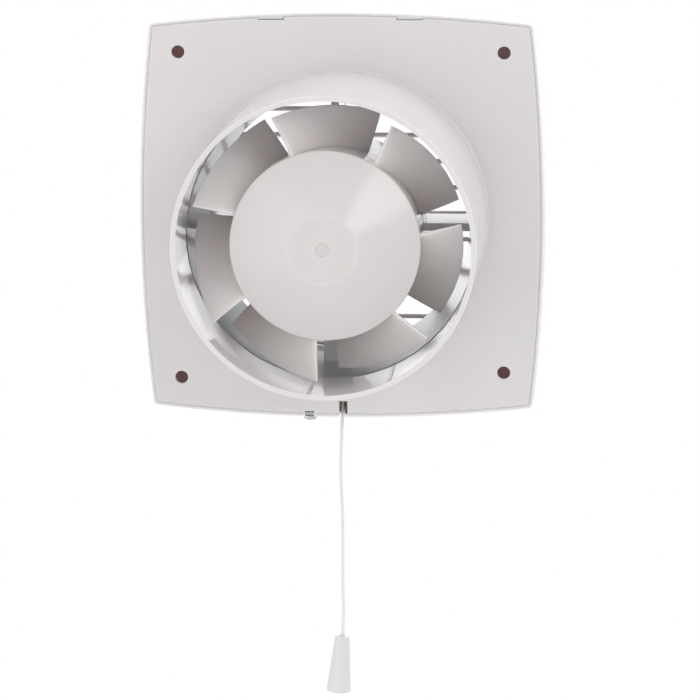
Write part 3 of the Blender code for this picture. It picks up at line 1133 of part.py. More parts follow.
def make_terminal_block():
    """Three-pole block with a raised housing over each pole."""
    low, high = BLOCK_LOW, BLOCK_HIGH
    shoulder = low.y + TOWER_HEIGHT
    body = add_object("terminal_block", block((low.x, shoulder, low.z), high), NYLON)
    half = POLE_SCREW_RADIUS + GAP + TOWER_WALL
    towers = [block((BLOCK_X - half, low.y, z - half), (BLOCK_X + half, shoulder + EMBED, z + half))
              for z in POLE_Z]
    fuse(body, towers)
    wires = [rod((low.x - REACH, WIRE_Y, z), (high.x + REACH, WIRE_Y, z), WIRE_HOLE_RADIUS) for z in POLE_Z]
    wells = [rod((BLOCK_X, low.y - REACH, z), (BLOCK_X, WIRE_Y, z), POLE_SCREW_RADIUS + GAP) for z in POLE_Z]
    cut(body, wires + wells)


def make_terminal_screws():
    front = BLOCK_FRONT + POLE_SCREW_DEPTH
    grub = rod((0, 0, 0), (0, POLE_SCREW_LENGTH, 0), POLE_SCREW_RADIUS)
    add_copies("terminal_screw", grub, BRASS, [Matrix.Translation((BLOCK_X, front, z)) for z in POLE_Z])


def make_cable_clamp():
    """Saddle over the mains cable, screwed to two posts beside the knock-out."""
    rear = CLAMP_SEAT - GAP
    front = rear - CLAMP_THICKNESS
    reach = CLAMP_PITCH / 2 + CLAMP_POST
    bar = block((CLAMP_X - CLAMP_WIDTH / 2, front, CLAMP_Z - reach),
                (CLAMP_X + CLAMP_WIDTH / 2, rear, CLAMP_Z + reach), CLAMP_EDGE)
    clamp = add_object("cable_clamp", bar, NYLON)
    cut(clamp, [rod((x, rear + REACH, z), (x, front - REACH, z), SMALL_SCREW + GAP) for x, z in clamp_posts()])
    short_screw = screw(-front - BLIND, SMALL_SCREW, 2 * SMALL_SCREW, SMALL_SCREW_DOME)
    add_copies("clamp_screw", short_screw, STEEL, facing_room([(x, front, z) for x, z in clamp_posts()]))


def make_leads():
    """Insulated leads: out of the cup through the bottom strut, and on to the switch and the terminal block."""
    coil_face = STACK_FRONT - 3 * GAP - BOBBIN_WALL - COIL_BUILD
    bend = LEAD_BEND
    over_y = FLANGE_FRONT - LEAD_CLEAR
    rim_z = -FLANGE_RADIUS + 2 * bend
    tab_x = -SWITCH_HALF_WIDTH - TAB_OUT - GAP
    (front_y, tab_z), (rear_y, tab_z) = tab_places()
    block_side, block_x = BLOCK_HIGH.x, BLOCK_HIGH.x - WIRE_BITE
    middle_pole, high_pole = POLE_Z[1], POLE_Z[2]

    def out_of_cup(x):
        return [(x, coil_face, STACK_BOTTOM), (x, coil_face - bend, STACK_BOTTOM - bend / 2),
                (x, LEAD_Y, -CUP_RADIUS + bend), (x, LEAD_Y, -CUP_RADIUS - bend),
                (x, LEAD_Y / 2, -(CUP_RADIUS + THROAT_RADIUS) / 2), (x, -bend / 2, -THROAT_RADIUS + 2 * bend),
                (x - bend / 2, over_y, -THROAT_RADIUS + bend / 2)]

    to_block = out_of_cup(-LEAD_APART) + [(block_side / 3, over_y, rim_z), (2 * block_side / 3, over_y, high_pole),
                                          (block_side + 2 * bend, WIRE_Y, high_pole),
                                          (block_x, WIRE_Y, high_pole)]
    to_switch = out_of_cup(LEAD_APART) + [(-2 * SWITCH_HALF_WIDTH / 3, over_y - bend, rim_z),
                                          (tab_x - bend, front_y - bend / 2, SWITCH_TOP + bend / 2),
                                          (tab_x - 2 * bend, front_y, tab_z + 2 * bend),
                                          (tab_x - bend, front_y, tab_z), (tab_x, front_y, tab_z)]
    link = [(tab_x, rear_y, tab_z), (tab_x - bend, rear_y, tab_z), ((tab_x + block_side) / 2, WIRE_Y, middle_pole),
            (block_side + 2 * bend, WIRE_Y, middle_pole), (block_x, WIRE_Y, middle_pole)]
    for name, route, finish in (("lead_coil_to_block", to_block, BLUE_PVC),
                                ("lead_coil_to_switch", to_switch, BROWN_PVC),
                                ("lead_switch_to_block", link, BROWN_PVC)):
        add_wire(name, smooth_route(route, LEAD_STEP), LEAD_RADIUS, finish, resolution=1)


def main():
    for thing in list(bpy.data.objects):
        bpy.data.objects.remove(thing, do_unlink=True)

    make_casing()
    make_cover_frame()
    make_cover_louvre()
    make_cover_screw()
    make_motor_carrier()
    make_carrier_screws()

    make_stator()
    make_coil()
    for name, side in (("front", -1), ("rear", 1)):
        make_bracket(name + "_bracket", side)
        make_bearing(name + "_bearing", side)
    make_motor_screws()

    spin_axis = axis_empty("impeller_axis", Vector((0, MOTOR_Y, 0)))
    carry(spin_axis, make_impeller(), make_impeller_clip(), make_shaft(), make_rotor())

    home = Vector((CORD_X, SWITCH_Y, CAP_TOP))
    cord_axis = axis_empty("cord_axis", home)
    carry(cord_axis, make_plunger(home), make_spring(home), make_cord(home), make_knob(home))
    make_switch_body()
    make_switch_terminals()
    make_switch_screws()

    make_terminal_block()
    make_terminal_screws()
    make_cable_clamp()
    make_leads()


main()
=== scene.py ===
"""Looks of the duct fan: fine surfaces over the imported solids, plastics, metals, cord, light and camera."""

import math

import bmesh
import bpy
from mathutils import Matrix, Vector


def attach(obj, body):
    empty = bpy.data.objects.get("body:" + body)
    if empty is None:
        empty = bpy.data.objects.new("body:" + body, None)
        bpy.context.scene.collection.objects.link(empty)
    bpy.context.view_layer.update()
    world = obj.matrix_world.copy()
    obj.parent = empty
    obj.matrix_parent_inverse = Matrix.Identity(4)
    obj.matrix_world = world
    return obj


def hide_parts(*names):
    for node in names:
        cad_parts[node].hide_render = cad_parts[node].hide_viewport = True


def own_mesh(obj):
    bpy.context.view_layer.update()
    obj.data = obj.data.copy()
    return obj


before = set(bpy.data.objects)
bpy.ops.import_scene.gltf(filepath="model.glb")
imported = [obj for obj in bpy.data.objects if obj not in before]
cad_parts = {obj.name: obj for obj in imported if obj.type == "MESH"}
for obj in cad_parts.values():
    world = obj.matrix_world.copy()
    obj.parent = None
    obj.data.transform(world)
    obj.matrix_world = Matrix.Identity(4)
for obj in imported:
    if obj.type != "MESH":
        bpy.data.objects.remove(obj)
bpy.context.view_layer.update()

mm = 0.001

# Facets of the fine surfaces
ROUND_COUNT = 144
MEDIUM_COUNT = 48
SMALL_COUNT = 32
KNOB_COUNT = 64
SIDE_COUNT = 22
CORNER_COUNT = 6
FILLET_STEPS = 10
DUCT_EDGE_STEPS = 4
CROWN_STEPS = 12
INNER_CROWN_STEPS = 8
NOSE_STEPS = 8
MOUTH_STEPS = 14
CUP_EDGE_STEPS = 6
CHORD_STEPS = 20
BLADE_STATIONS = 8
ROUNDING_STEPS = 5
ROUTE_STEPS = 24
CORD_SIDES = 16
KNOB_BASE_STEPS = 8
KNOB_TOP_STEPS = 6
SPRING_STEPS = 24           # in each turn
SPRING_SIDES = 10
HEAD_STEPS = 10

# Angles in degrees: what counts as flat, what is bevelled, and where shading breaks
FLAT_ANGLE = 0.2
BEVEL_ANGLE = 40
BEVELLED_SHARP = 38
MOULDED_SHARP = 40
TUBE_SHARP = 60
SCREW_SHARP = 35

# Sizes of the solids, as the part's source has them
GAP = 0.3 * mm
EMBED = 0.4 * mm
REACH = 1.0 * mm
DUCT_RADIUS = 74.0 * mm
DUCT_WALL = 2.5 * mm
DUCT_LENGTH = 108.0 * mm
DUCT_FILLET = 1.2 * mm
DUCT_EDGE = 0.4 * mm
SIDE_MARGIN = 28.4 * mm
HEIGHT_MARGIN = 29.3 * mm
SIDE_BOW = 5.7 * mm
CORNER_RADIUS = 2.4 * mm
COVER_WALL = 1.7 * mm
COVER_DEPTH = 27.0 * mm
COVER_SETBACK = 0.6 * mm
COVER_CROWN = 8.0 * mm
RIM_GAP = 0.45 * mm
WINDOW_INSET = 34.0 * mm
WINDOW_CORNER = 5.0 * mm
WINDOW_EDGE = 0.8 * mm
CORD_SLOT_DEPTH = 2.2 * mm
SLAT_COUNT = 9
SLAT_DEPTH = 12.0 * mm
SLAT_SETBACK = 1.2 * mm
LOUVRE_RING = 2.5 * mm
LOUVRE_CORNER = 4.6 * mm
LOUVRE_SETBACK = 0.4 * mm
LOUVRE_LIP = 2.0 * mm
LIP_THICKNESS = 1.4 * mm
RING_STEP = 0.6 * mm
BACKBONE_HALF = 1.1 * mm
PLATE_THICKNESS = 3.0 * mm
PLATE_CORNER = 0.9 * mm
RIB_INSET = 2.0 * mm
RIB_WIDTH = 1.4 * mm
RIB_HEIGHT = 3.5 * mm
HOLE_SIDE = 8.1 * mm
HOLE_ABOVE = 9.2 * mm
HOLE_RADIUS = 3.3 * mm
LOW_HOLE_RISE = 3.8 * mm
CLIP_CENTRE = 34.9 * mm
CLIP_WIDTH = 13.2 * mm
CLIP_DEPTH = 0.6 * mm
HOOK_LENGTH = 1.2 * mm
RELIEF_CENTRE = -6.3 * mm
RELIEF_WIDTH = 7.0 * mm
RELIEF_HEIGHT = 0.5 * mm
RING_REAR = 61.0 * mm
RING_LIP = 0.7 * mm
RING_WALL = 1.8 * mm
RING_TAPER = 5.0 * mm
THROAT_Y = 8.0 * mm
MOUTH_FLARE = 7.0 * mm
FLANGE_WIDTH = 4.8 * mm
FLANGE_THICKNESS = 2.1 * mm
EAR_OFFSET = 4.0 * mm
EAR_RADIUS = 4.6 * mm
EAR_STEP = 0.1 * mm
CUP_RADIUS = 44.0 * mm
CUP_WALL = 2.0 * mm
CUP_ROUND = 1.6 * mm
CUP_REAR = 60.0 * mm
CUP_DRAFT = 0.6 * mm
STRUT_THICKNESS = 3.9 * mm
STRUT_FRONT = 0.7 * mm
STRUT_DEPTH = 33.0 * mm
STRUT_TOE = 1.6 * mm
CHANNEL_WIDTH = 12.6 * mm
CHANNEL_WALL = 1.8 * mm
CHANNEL_END = 0.6 * mm
DOOR_FRONT = 3.5 * mm
DOOR_REAR = 15.0 * mm
VENT_COUNT = 8
VENT_WIDTH = 2.6 * mm
VENT_INNER = 24.0 * mm
VENT_OUTER = 36.0 * mm
BLADE_COUNT = 7
HUB_RADIUS = 46.4 * mm
HUB_DRAFT = 0.8 * mm
HUB_WALL = 2.0 * mm
HUB_CROWN_WALL = 2.4 * mm
HUB_FRONT = 63.0 * mm
HUB_EDGE = 97.3 * mm
HUB_TOP = 111.5 * mm
HUB_FLAT = 17.0 * mm
HUB_ROUND = 1.6 * mm
HUB_FLAT_EDGE = 1.3 * mm
DIMPLE_RADIUS = 3.3 * mm
DIMPLE_EDGE = 0.4 * mm
DIMPLE_DEPTH = 0.7 * mm
BOSS_RADIUS = 5.5 * mm
BOSS_LENGTH = 1.0 * mm
SHAFT_SKIN = 3.6 * mm
HUB_RIB = 1.5 * mm
HUB_RIB_FRONT = 78.0 * mm
BLADE_REAR = 96.2 * mm
BLADE_FRONT = 64.3 * mm
BLADE_ROOM_REAR = 4.7 * mm
BLADE_ROOM_FRONT = 5.9 * mm
BLADE_ROOT = 1.5 * mm
BLADE_REAR_ANGLE = math.radians(67.6)
BLADE_TURN = math.radians(44.7)
BLADE_LEAN = math.radians(2.2)
BLADE_CAMBER = 0.25
BLADE_ROOT_THICKNESS = 2.2 * mm
BLADE_TIP_THICKNESS = 1.3 * mm
MOTOR_Y = 38.0 * mm
STACK_LENGTH = 20.0 * mm
SHAFT_RADIUS = 2.0 * mm
MOTOR_SCREW_X = 16.2 * mm
MOTOR_SCREW_Z = 14.5 * mm
FOOT_HEIGHT = 2.7 * mm
BRACKET_PLATE = 2.2 * mm
POST_RADIUS = 3.3 * mm
SWITCH_Y = -9.8 * mm
CORD_X = 0.6 * mm
SWITCH_RISE = 7.8 * mm
SWITCH_HEIGHT = 17.5 * mm
CAVITY_RADIUS = 5.0 * mm
CAVITY_WALL = 1.3 * mm
PLUNGER_SETBACK = 0.5 * mm
SWITCH_FLOOR = 1.5 * mm
PLUNGER_REST = 0.5 * mm
PLUNGER_CAP = 2.0 * mm
SPRING_RADIUS = 3.2 * mm
SPRING_WIRE = 0.35 * mm
SPRING_TURN_COUNT = 4
CORD_SOCKET = 7.0 * mm
CORD_END = 1.0 * mm
CORD_RADIUS = 0.85 * mm
SWITCH_POST = 3.0 * mm
SWITCH_EAR_X = 15.5 * mm
SWITCH_EAR_DROP = 3.5 * mm
SWITCH_EAR_BACK = 3.0 * mm
NOTCH_HALF = 2.12 * mm
NOTCH_HEIGHT = 8.4 * mm
NOTCH_X = -0.45 * mm
CORD_SLOT_HALF = 1.4 * mm
CORD_FREE = 116.7 * mm
CORD_SWAY = ((-0.04, 0.0), (0.1, 0.7), (0.23, 1.2), (0.37, 0.85), (0.46, 0.45), (0.77, 0.45), (0.9, 0.27))
KNOB_TOP_X = 1.45 * mm
KNOB_LENGTH = 29.5 * mm
KNOB_TILT = math.radians(4.2)
KNOB_TOP_RADIUS = 3.8 * mm
KNOB_BASE_RADIUS = 6.3 * mm
KNOB_WALL = 1.4 * mm
KNOB_CROWN = 7.0 * mm
KNOB_FLARE = 0.5 * mm
KNOB_FLARE_DEPTH = 1.2 * mm
KNOB_TOP_ROUND = 0.8 * mm
KNOB_BASE_ROUND = 1.0 * mm
KNOB_LIP = 0.2 * mm
CORD_BITE = 6.0 * mm
COVER_SCREW_X = 16.8 * mm
COVER_SCREW_Y = -6.5 * mm
SCREW_RADIUS = 1.5 * mm
SCREW_HEAD = 3.5 * mm
SCREW_DOME = 2.5 * mm
SMALL_SCREW = 1.1 * mm
BLIND = 0.8 * mm
COVER_SCREW_LENGTH = 12.0 * mm
BOSS_WALL = 1.7 * mm
BOSS_RISE = 3.0 * mm
SCREW_NOTCH_HALF = 2.35 * mm
SCREW_NOTCH_HEIGHT = 1.0 * mm
SCREW_NOTCH_START = 1.0 * mm
CLAMP_SIDE = 26.4 * mm
CLAMP_RISE = 41.3 * mm
CLAMP_PITCH = 14.0 * mm
CLAMP_POST = 2.7 * mm
CABLE_ROOM = 4.0 * mm
KNOCKOUT_SIDE = 14.4 * mm
KNOCKOUT_RADIUS = 4.5 * mm
KNOCKOUT_SKIN = 0.9 * mm
COVER_HALF_WIDTH = DUCT_RADIUS + SIDE_MARGIN
COVER_HALF_HEIGHT = DUCT_RADIUS + HEIGHT_MARGIN
SIDE_CHORD = COVER_HALF_WIDTH - SIDE_BOW
SIDE_ARC = (SIDE_CHORD ** 2 + SIDE_BOW ** 2) / (2 * SIDE_BOW)
PLATE_INSET = COVER_WALL + RIM_GAP
PLATE_FRONT = -PLATE_THICKNESS
BORE_RADIUS = DUCT_RADIUS - DUCT_WALL
RING_RADIUS = BORE_RADIUS - GAP
THROAT_RADIUS = RING_RADIUS - RING_LIP - RING_TAPER
FLANGE_RADIUS = RING_RADIUS + FLANGE_WIDTH
COVER_FACE = -COVER_DEPTH
COVER_INNER = COVER_FACE + COVER_WALL
RIB_FRONT = PLATE_FRONT - RIB_HEIGHT
FLANGE_REAR = PLATE_FRONT - GAP
FLANGE_FRONT = FLANGE_REAR - FLANGE_THICKNESS
EAR_REAR = FLANGE_REAR - EAR_STEP
EAR_FRONT = FLANGE_FRONT + EAR_STEP
HUB_INNER = HUB_RADIUS - HUB_WALL
BLADE_TIP_REAR = BORE_RADIUS - BLADE_ROOM_REAR
BLADE_TIP_FRONT = BORE_RADIUS - BLADE_ROOM_FRONT
BORE = SHAFT_RADIUS + GAP
SHAFT_REAR = HUB_TOP - DIMPLE_DEPTH - SHAFT_SKIN
BOSS_FRONT = HUB_FRONT - BOSS_LENGTH
FOOT_FACE = STACK_LENGTH / 2 + GAP
BRACKET_INNER = FOOT_FACE + FOOT_HEIGHT
BRACKET_OUTER = BRACKET_INNER + BRACKET_PLATE
POST_TOP = MOTOR_Y - BRACKET_OUTER - GAP
SWITCH_BOTTOM = -COVER_HALF_HEIGHT + SWITCH_RISE
SWITCH_TOP = SWITCH_BOTTOM + SWITCH_HEIGHT
SWITCH_EAR_Z = SWITCH_TOP - SWITCH_EAR_DROP
SWITCH_SEAT = SWITCH_Y + CAVITY_RADIUS + CAVITY_WALL - SWITCH_EAR_BACK
PLUNGER_END = SWITCH_BOTTOM + PLUNGER_SETBACK
CAVITY_FLOOR = SWITCH_BOTTOM + SWITCH_FLOOR
CAP_BOTTOM = SWITCH_TOP - CAVITY_WALL - PLUNGER_REST - PLUNGER_CAP
NOTCH_TOP = -COVER_HALF_HEIGHT + NOTCH_HEIGHT
KNOB_TOP_Z = -COVER_HALF_HEIGHT - CORD_FREE
CLAMP_X = -COVER_HALF_WIDTH + CLAMP_SIDE
CLAMP_Z = -COVER_HALF_HEIGHT + CLAMP_RISE
CLAMP_SEAT = PLATE_FRONT - CABLE_ROOM
KNOCKOUT_X = -COVER_HALF_WIDTH + KNOCKOUT_SIDE

# Finer forms of the same solids
EDGE = 0.3 * mm             # roundings and chamfers on thin edges
LEDGE_INSET = 1.75 * mm     # ledge that closes the gap between the plate and the cover
LEDGE_FRONT = -1.3 * mm
LEDGE_REAR = -0.45 * mm
PLATE_BREAK = 0.15 * mm     # broken rear edge of the plate, in two slopes
PLATE_BREAK_STEP = 0.05 * mm
FILLET_SINK = 0.02 * mm     # how far the duct's fillet runs into the plate's face
RIM_EDGE = 0.2 * mm         # chamfer on the cover's rear rim
SLAT_BODY = 2.2 * mm
SLAT_FALL = 1.7 * mm
RING_SEAT = 0.05 * mm       # what the ring's rear edge leaves open towards the duct
RING_EDGE = 0.25 * mm       # thickness of that edge
BLADE_BLUNTNESS = 0.1       # thickness left at a blade's edges, as a share of the blade's
SHELL_SOFTENING = 0.12 * mm
INSERT_SOFTENING = 0.15 * mm
CORD_STEP = 3.4 * mm        # between the cord's points
KNOB_SIDE_ANGLE = 5         # slope of the knob's side, in degrees
HEAD_FOOT = 0.2             # upright foot of a screw's head, as a share of its dome
CROSS_ARM = 0.55            # half length and half width of the recess, as shares of the head
CROSS_HALF = 0.09
CROSS_FLOOR = 0.45          # height of the recess's floor, as a share of the dome
CROSS_OFFSET = 0.01 * mm    # between the floors of its two slots, so that they don't coincide
ROUNDING_LIMIT = 0.49       # share of a profile's side that one rounding may take
MERGE_DISTANCE = 0.001 * mm

# Patterns of the finishes: scales per metre, dark tones as shares of the colour, depths
DRIFT_SCALE = 22.0
DRIFT_SHADE = 0.975
GLOSS_SCALE = 120.0
GRAIN_SCALE = 2600.0
GLOW_DEPTH = 2.5 * mm
GLOW_RADII = (1.0, 0.75, 0.75)
PATCH_SCALE = 400.0
PATCH_SHADE = 0.72
METAL_GLOSS_SCALE = 1000.0
METAL_GRAIN_SCALE = 2400.0
METAL_GRAIN = 0.01 * mm
WAVE_FACTOR = 20            # phase of the wave texture per unit of its scale and of length
BAND_SHADE = 0.55
BAND_WANDER = 0.4
BAND_DETAIL_SCALE = 60.0
BAND_GLOSS_SCALE = 700.0
BAND_GLOSS_SPREAD = 0.08
BAND_DEPTH = 0.06 * mm
STRANDS_ROUND = 6.0
STRANDS_ALONG = 2.0
STRAND_SHADE = 0.88
STRAND_DEPTH = 0.1 * mm
CORD_ROUGHNESS = 0.75
CORD_SHEEN = 0.15

# Camera, as fitted to the photograph
CAMERA_AZIMUTH = math.radians(184.685)
CAMERA_ELEVATION = math.radians(10.206)
CAMERA_ROLL = math.radians(0.297)
CAMERA_TARGET = (-4.04, 0, -68.38)      # in millimetres
CAMERA_DISTANCE = 2167 * mm
CAMERA_LENS = 219.5
SENSOR_WIDTH = 36

# Studio: direction, distance, size and brightness of each softbox, then the backdrop and the floor
SOFTBOXES = {
    "key_softbox": ((-0.60, 0.68, 0.42), 2.0, 0.9, 2.9),
    "top_softbox": ((-0.45, -0.5, 0.74), 2.0, 1.6, 1.3),
    "fill_softbox": ((0.80, 0.58, 0.1), 2.0, 2.4, 0.5),
    "room_softbox": ((0.2, -0.9, 0.35), 2.2, 2.4, 0.6),
}
BACKDROP_LIGHT = 0.93       # what the backdrop lends to the light, its picture being 1
FLOOR_HALF = 6
FLOOR_Z = -1.2
FLOOR_GREY = (0.9, 0.9, 0.9)
FLOOR_ROUGHNESS = 0.9


# Basic solids

def spread(low, high, steps):
    return [low + (high - low) * i / steps for i in range(steps + 1)]


def arc(centre, radius, start, end, steps):
    turns = [math.radians(a) for a in spread(start, end, steps)]
    return [(centre[0] + radius * math.cos(t), centre[1] + radius * math.sin(t)) for t in turns]


def bowed_outline(inset, corner=CORNER_RADIUS):
    """Outline with bulging sides and round corners, parallel to the cover's side, as (x, z)."""
    beside = Vector((COVER_HALF_WIDTH - SIDE_ARC, 0))
    above = Vector((0, COVER_HALF_HEIGHT - SIDE_ARC))
    half = (above - beside) / 2
    outward = Vector((-half.y, half.x)).normalized()
    inner = SIDE_ARC - inset - corner
    fillet = beside + half + outward * math.sqrt(inner ** 2 - half.length_squared)
    low = math.degrees(math.atan2(fillet.y, fillet.x - beside.x))
    high = math.degrees(math.atan2(fillet.y - above.y, fillet.x))
    side = arc(beside, SIDE_ARC - inset, -low, low, SIDE_COUNT)
    bend = arc(fillet, corner, low, high, CORNER_COUNT + 1)[1:-1]
    top = arc(above, SIDE_ARC - inset, high, 180 - high, SIDE_COUNT)
    outline = side + bend + top + [(-x, z) for x, z in reversed(bend)]
    return outline + [(-x, -z) for x, z in outline]


def slice_at(inset, y, corner=CORNER_RADIUS):
    """That outline as a ring of points at depth y."""
    return [(x, y, z) for x, z in bowed_outline(inset, corner)]


def side_at(half, inset, along):
    """How far out the bulging side lies, for a place along it."""
    return half - SIDE_ARC + math.sqrt((SIDE_ARC - inset) ** 2 - along ** 2)


def bottom_at(inset, along):
    return -side_at(COVER_HALF_HEIGHT, inset, along)


def rounded(profile, radii):
    """Profile with round corners: radii maps a point's index to its radius."""
    out = []
    count = len(profile)
    for i, p in enumerate(profile):
        r = radii.get(i, 0)
        if not r:
            out.append(p)
            continue
        here = Vector(p)
        before = Vector(profile[i - 1]) - here
        after = Vector(profile[(i + 1) % count]) - here
        half = before.angle(after) / 2
        back = min(r / math.tan(half), ROUNDING_LIMIT * before.length, ROUNDING_LIMIT * after.length)
        start = here + before.normalized() * back
        end = here + after.normalized() * back
        for t in spread(0, 1, ROUNDING_STEPS):
            out.append(tuple((1 - t) ** 2 * start + 2 * t * (1 - t) * here + t ** 2 * end))
    return out


def fresh(bm):
    """The same solid with its normals outward."""
    bmesh.ops.recalc_face_normals(bm, faces=bm.faces)
    return bm


def turned(profile, sides=ROUND_COUNT):
    """Solid of revolution about the duct's axis, from a profile of (radius, y)."""
    bm = bmesh.new()
    verts = [bm.verts.new((r, y, 0)) for r, y in profile]
    edges = [bm.edges.new(pair) for pair in zip(verts, verts[1:])]
    if profile[0][0] > 0 or profile[-1][0] > 0:
        edges.append(bm.edges.new((verts[-1], verts[0])))
    bmesh.ops.spin(bm, geom=verts + edges, cent=(0, 0, 0), axis=(0, 1, 0), angle=math.tau, steps=sides,
                   use_merge=True)
    bmesh.ops.remove_doubles(bm, verts=bm.verts, dist=MERGE_DISTANCE)
    return fresh(bm)


def loft(rings, closed=False):
    """Skin over rings of equal length, with its ends capped or joined."""
    bm = bmesh.new()
    loops = [[bm.verts.new(p) for p in ring] for ring in rings]
    pairs = list(zip(loops, loops[1:]))
    if closed:
        pairs.append((loops[-1], loops[0]))
    else:
        bm.faces.new(loops[0])
        bm.faces.new(loops[-1])
    for a, b in pairs:
        for i in range(len(a)):
            j = (i + 1) % len(a)
            bm.faces.new((a[i], a[j], b[j], b[i]))
    return fresh(bm)


def block(low, high, bevel=0.0):
    low, high = Vector(low), Vector(high)
    bm = bmesh.new()
    size = Matrix.Diagonal((*(high - low), 1))
    bmesh.ops.create_cube(bm, size=1, matrix=Matrix.Translation((low + high) / 2) @ size)
    if bevel:
        bmesh.ops.bevel(bm, geom=bm.edges[:], offset=bevel, segments=2, profile=0.5, affect="EDGES")
    return fresh(bm)


def slab(x, half, near, far, bevel=0.0):
    """Block that reaches half its width to each side of x, between two corners given as (y, z)."""
    return block((x - half, *near), (x + half, *far), bevel)


def rod(start, end, radius, sides=SMALL_COUNT):
    start, end = Vector(start), Vector(end)
    bm = bmesh.new()
    turn = (end - start).to_track_quat("Z", "Y").to_matrix().to_4x4()
    bmesh.ops.create_cone(bm, cap_ends=True, segments=sides, radius1=radius, radius2=radius,
                          depth=(end - start).length, matrix=Matrix.Translation((start + end) / 2) @ turn)
    return fresh(bm)


def bar(x, z, start, end, radius, sides=SMALL_COUNT):
    """Rod along the duct's axis, from one depth to another."""
    return rod((x, start, z), (x, end, z), radius, sides)


def moved(bm, matrix):
    bm.transform(matrix)
    return bm


def together(solids):
    """One mesh that holds several solids."""
    whole = bmesh.new()
    for solid in solids:
        piece = bpy.data.meshes.new("piece")
        solid.to_mesh(piece)
        solid.free()
        whole.from_mesh(piece)
        bpy.data.meshes.remove(piece)
    return whole


def add_object(name, bm):
    mesh = bpy.data.meshes.new(name)
    bm.to_mesh(mesh)
    bm.free()
    thing = bpy.data.objects.new(name, mesh)
    bpy.context.scene.collection.objects.link(thing)
    return thing


def apply_modifiers(thing):
    result = bpy.data.meshes.new_from_object(thing.evaluated_get(bpy.context.evaluated_depsgraph_get()))
    thing.modifiers.clear()
    plain = thing.data
    thing.data = result
    bpy.data.meshes.remove(plain)


def combine(target, solids, operation):
    tool = add_object("tool", together(solids))
    modifier = target.modifiers.new("boolean", "BOOLEAN")
    modifier.operation = operation
    modifier.solver = "EXACT"
    modifier.use_self = True
    modifier.object = tool
    apply_modifiers(target)
    mesh = tool.data
    bpy.data.objects.remove(tool)
    bpy.data.meshes.remove(mesh)


def fuse(target, solids):
    combine(target, solids, "UNION")


def cut(target, solids):
    combine(target, solids, "DIFFERENCE")


def soften(thing, width):
    """Small rounding on the sharp edges, with flat faces kept flat."""
    bm = bmesh.new()
    bm.from_mesh(thing.data)
    bmesh.ops.dissolve_limit(bm, angle_limit=math.radians(FLAT_ANGLE), verts=bm.verts, edges=bm.edges)
    bm.to_mesh(thing.data)
    bm.free()
    bevel = thing.modifiers.new("soft_edges", "BEVEL")
    bevel.width = width
    bevel.segments = 2
    bevel.limit_method = "ANGLE"
    bevel.angle_limit = math.radians(BEVEL_ANGLE)
    bevel.use_clamp_overlap = True
    bevel.miter_outer = "MITER_ARC"
    apply_modifiers(thing)
    smooth(thing, BEVELLED_SHARP)
    weighted = thing.modifiers.new("flat_faces", "WEIGHTED_NORMAL")
    weighted.keep_sharp = True
    apply_modifiers(thing)


def smooth(thing, angle):
    thing.data.shade_smooth()
    thing.data.set_sharp_from_angle(angle=math.radians(angle))


def stand_for(thing, node, body, material):
    """Give a fine piece its finish, its body and the node that it stands for."""
    thing.data.materials.clear()
    thing.data.materials.append(material)
    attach(thing, body)
    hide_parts(node)


# Materials

def new_material(name):
    """A material with its nodes, links and shader, and the outputs of its texture coordinates."""
    material = bpy.data.materials.new(name)
    material.use_nodes = True
    nodes, links = material.node_tree.nodes, material.node_tree.links
    shader = nodes["Principled BSDF"]
    return material, nodes, links, shader, nodes.new("ShaderNodeTexCoord").outputs


def put(node, values):
    """Give a node's sockets their fixed values."""
    for socket, value in values.items():
        node.inputs[socket].default_value = value


def noise(nodes, links, place, scale, detail=3.0, roughness=0.5):
    node = nodes.new("ShaderNodeTexNoise")
    put(node, {"Scale": scale, "Detail": detail, "Roughness": roughness})
    links.new(place, node.inputs["Vector"])
    return node.outputs["Fac"]


def ranged(nodes, links, value, low, high, start=0.3, end=0.7):
    node = nodes.new("ShaderNodeMapRange")
    put(node, {"From Min": start, "From Max": end, "To Min": low, "To Max": high})
    links.new(value, node.inputs["Value"])
    return node.outputs["Result"]


def blended(nodes, links, factor, low, high):
    node = nodes.new("ShaderNodeMix")
    node.data_type = "RGBA"
    put(node, {"A": (*low, 1), "B": (*high, 1)})
    links.new(factor, node.inputs["Factor"])
    return node.outputs["Result"]


def darker(colour, shade):
    return tuple(c * shade for c in colour)


def bumped(nodes, links, shader, height, distance):
    node = nodes.new("ShaderNodeBump")
    node.inputs["Distance"].default_value = distance
    links.new(height, node.inputs["Height"])
    links.new(node.outputs["Normal"], shader.inputs["Normal"])


def plastic(name, colour, rough=(0.34, 0.42), grain=0.006, specular=0.5, glow=0.0, depth=GLOW_DEPTH):
    """Moulded plastic: a faint drift of tone, uneven gloss and a spark-eroded grain, its depth in mm."""
    material, nodes, links, shader, coordinates = new_material(name)
    place = coordinates["Object"]
    drift = ranged(nodes, links, noise(nodes, links, place, DRIFT_SCALE, detail=2.0), 0, 1)
    tone = blended(nodes, links, drift, darker(colour, DRIFT_SHADE), colour)
    links.new(tone, shader.inputs["Base Color"])
    gloss = noise(nodes, links, place, GLOSS_SCALE, detail=4.0)
    links.new(ranged(nodes, links, gloss, *rough), shader.inputs["Roughness"])
    fine = noise(nodes, links, place, GRAIN_SCALE, detail=2.0, roughness=0.6)
    bumped(nodes, links, shader, fine, grain * mm)
    shader.inputs["Specular IOR Level"].default_value = specular
    if glow:
        put(shader, {"Subsurface Weight": glow, "Subsurface Scale": depth, "Subsurface Radius": GLOW_RADII})
    return material


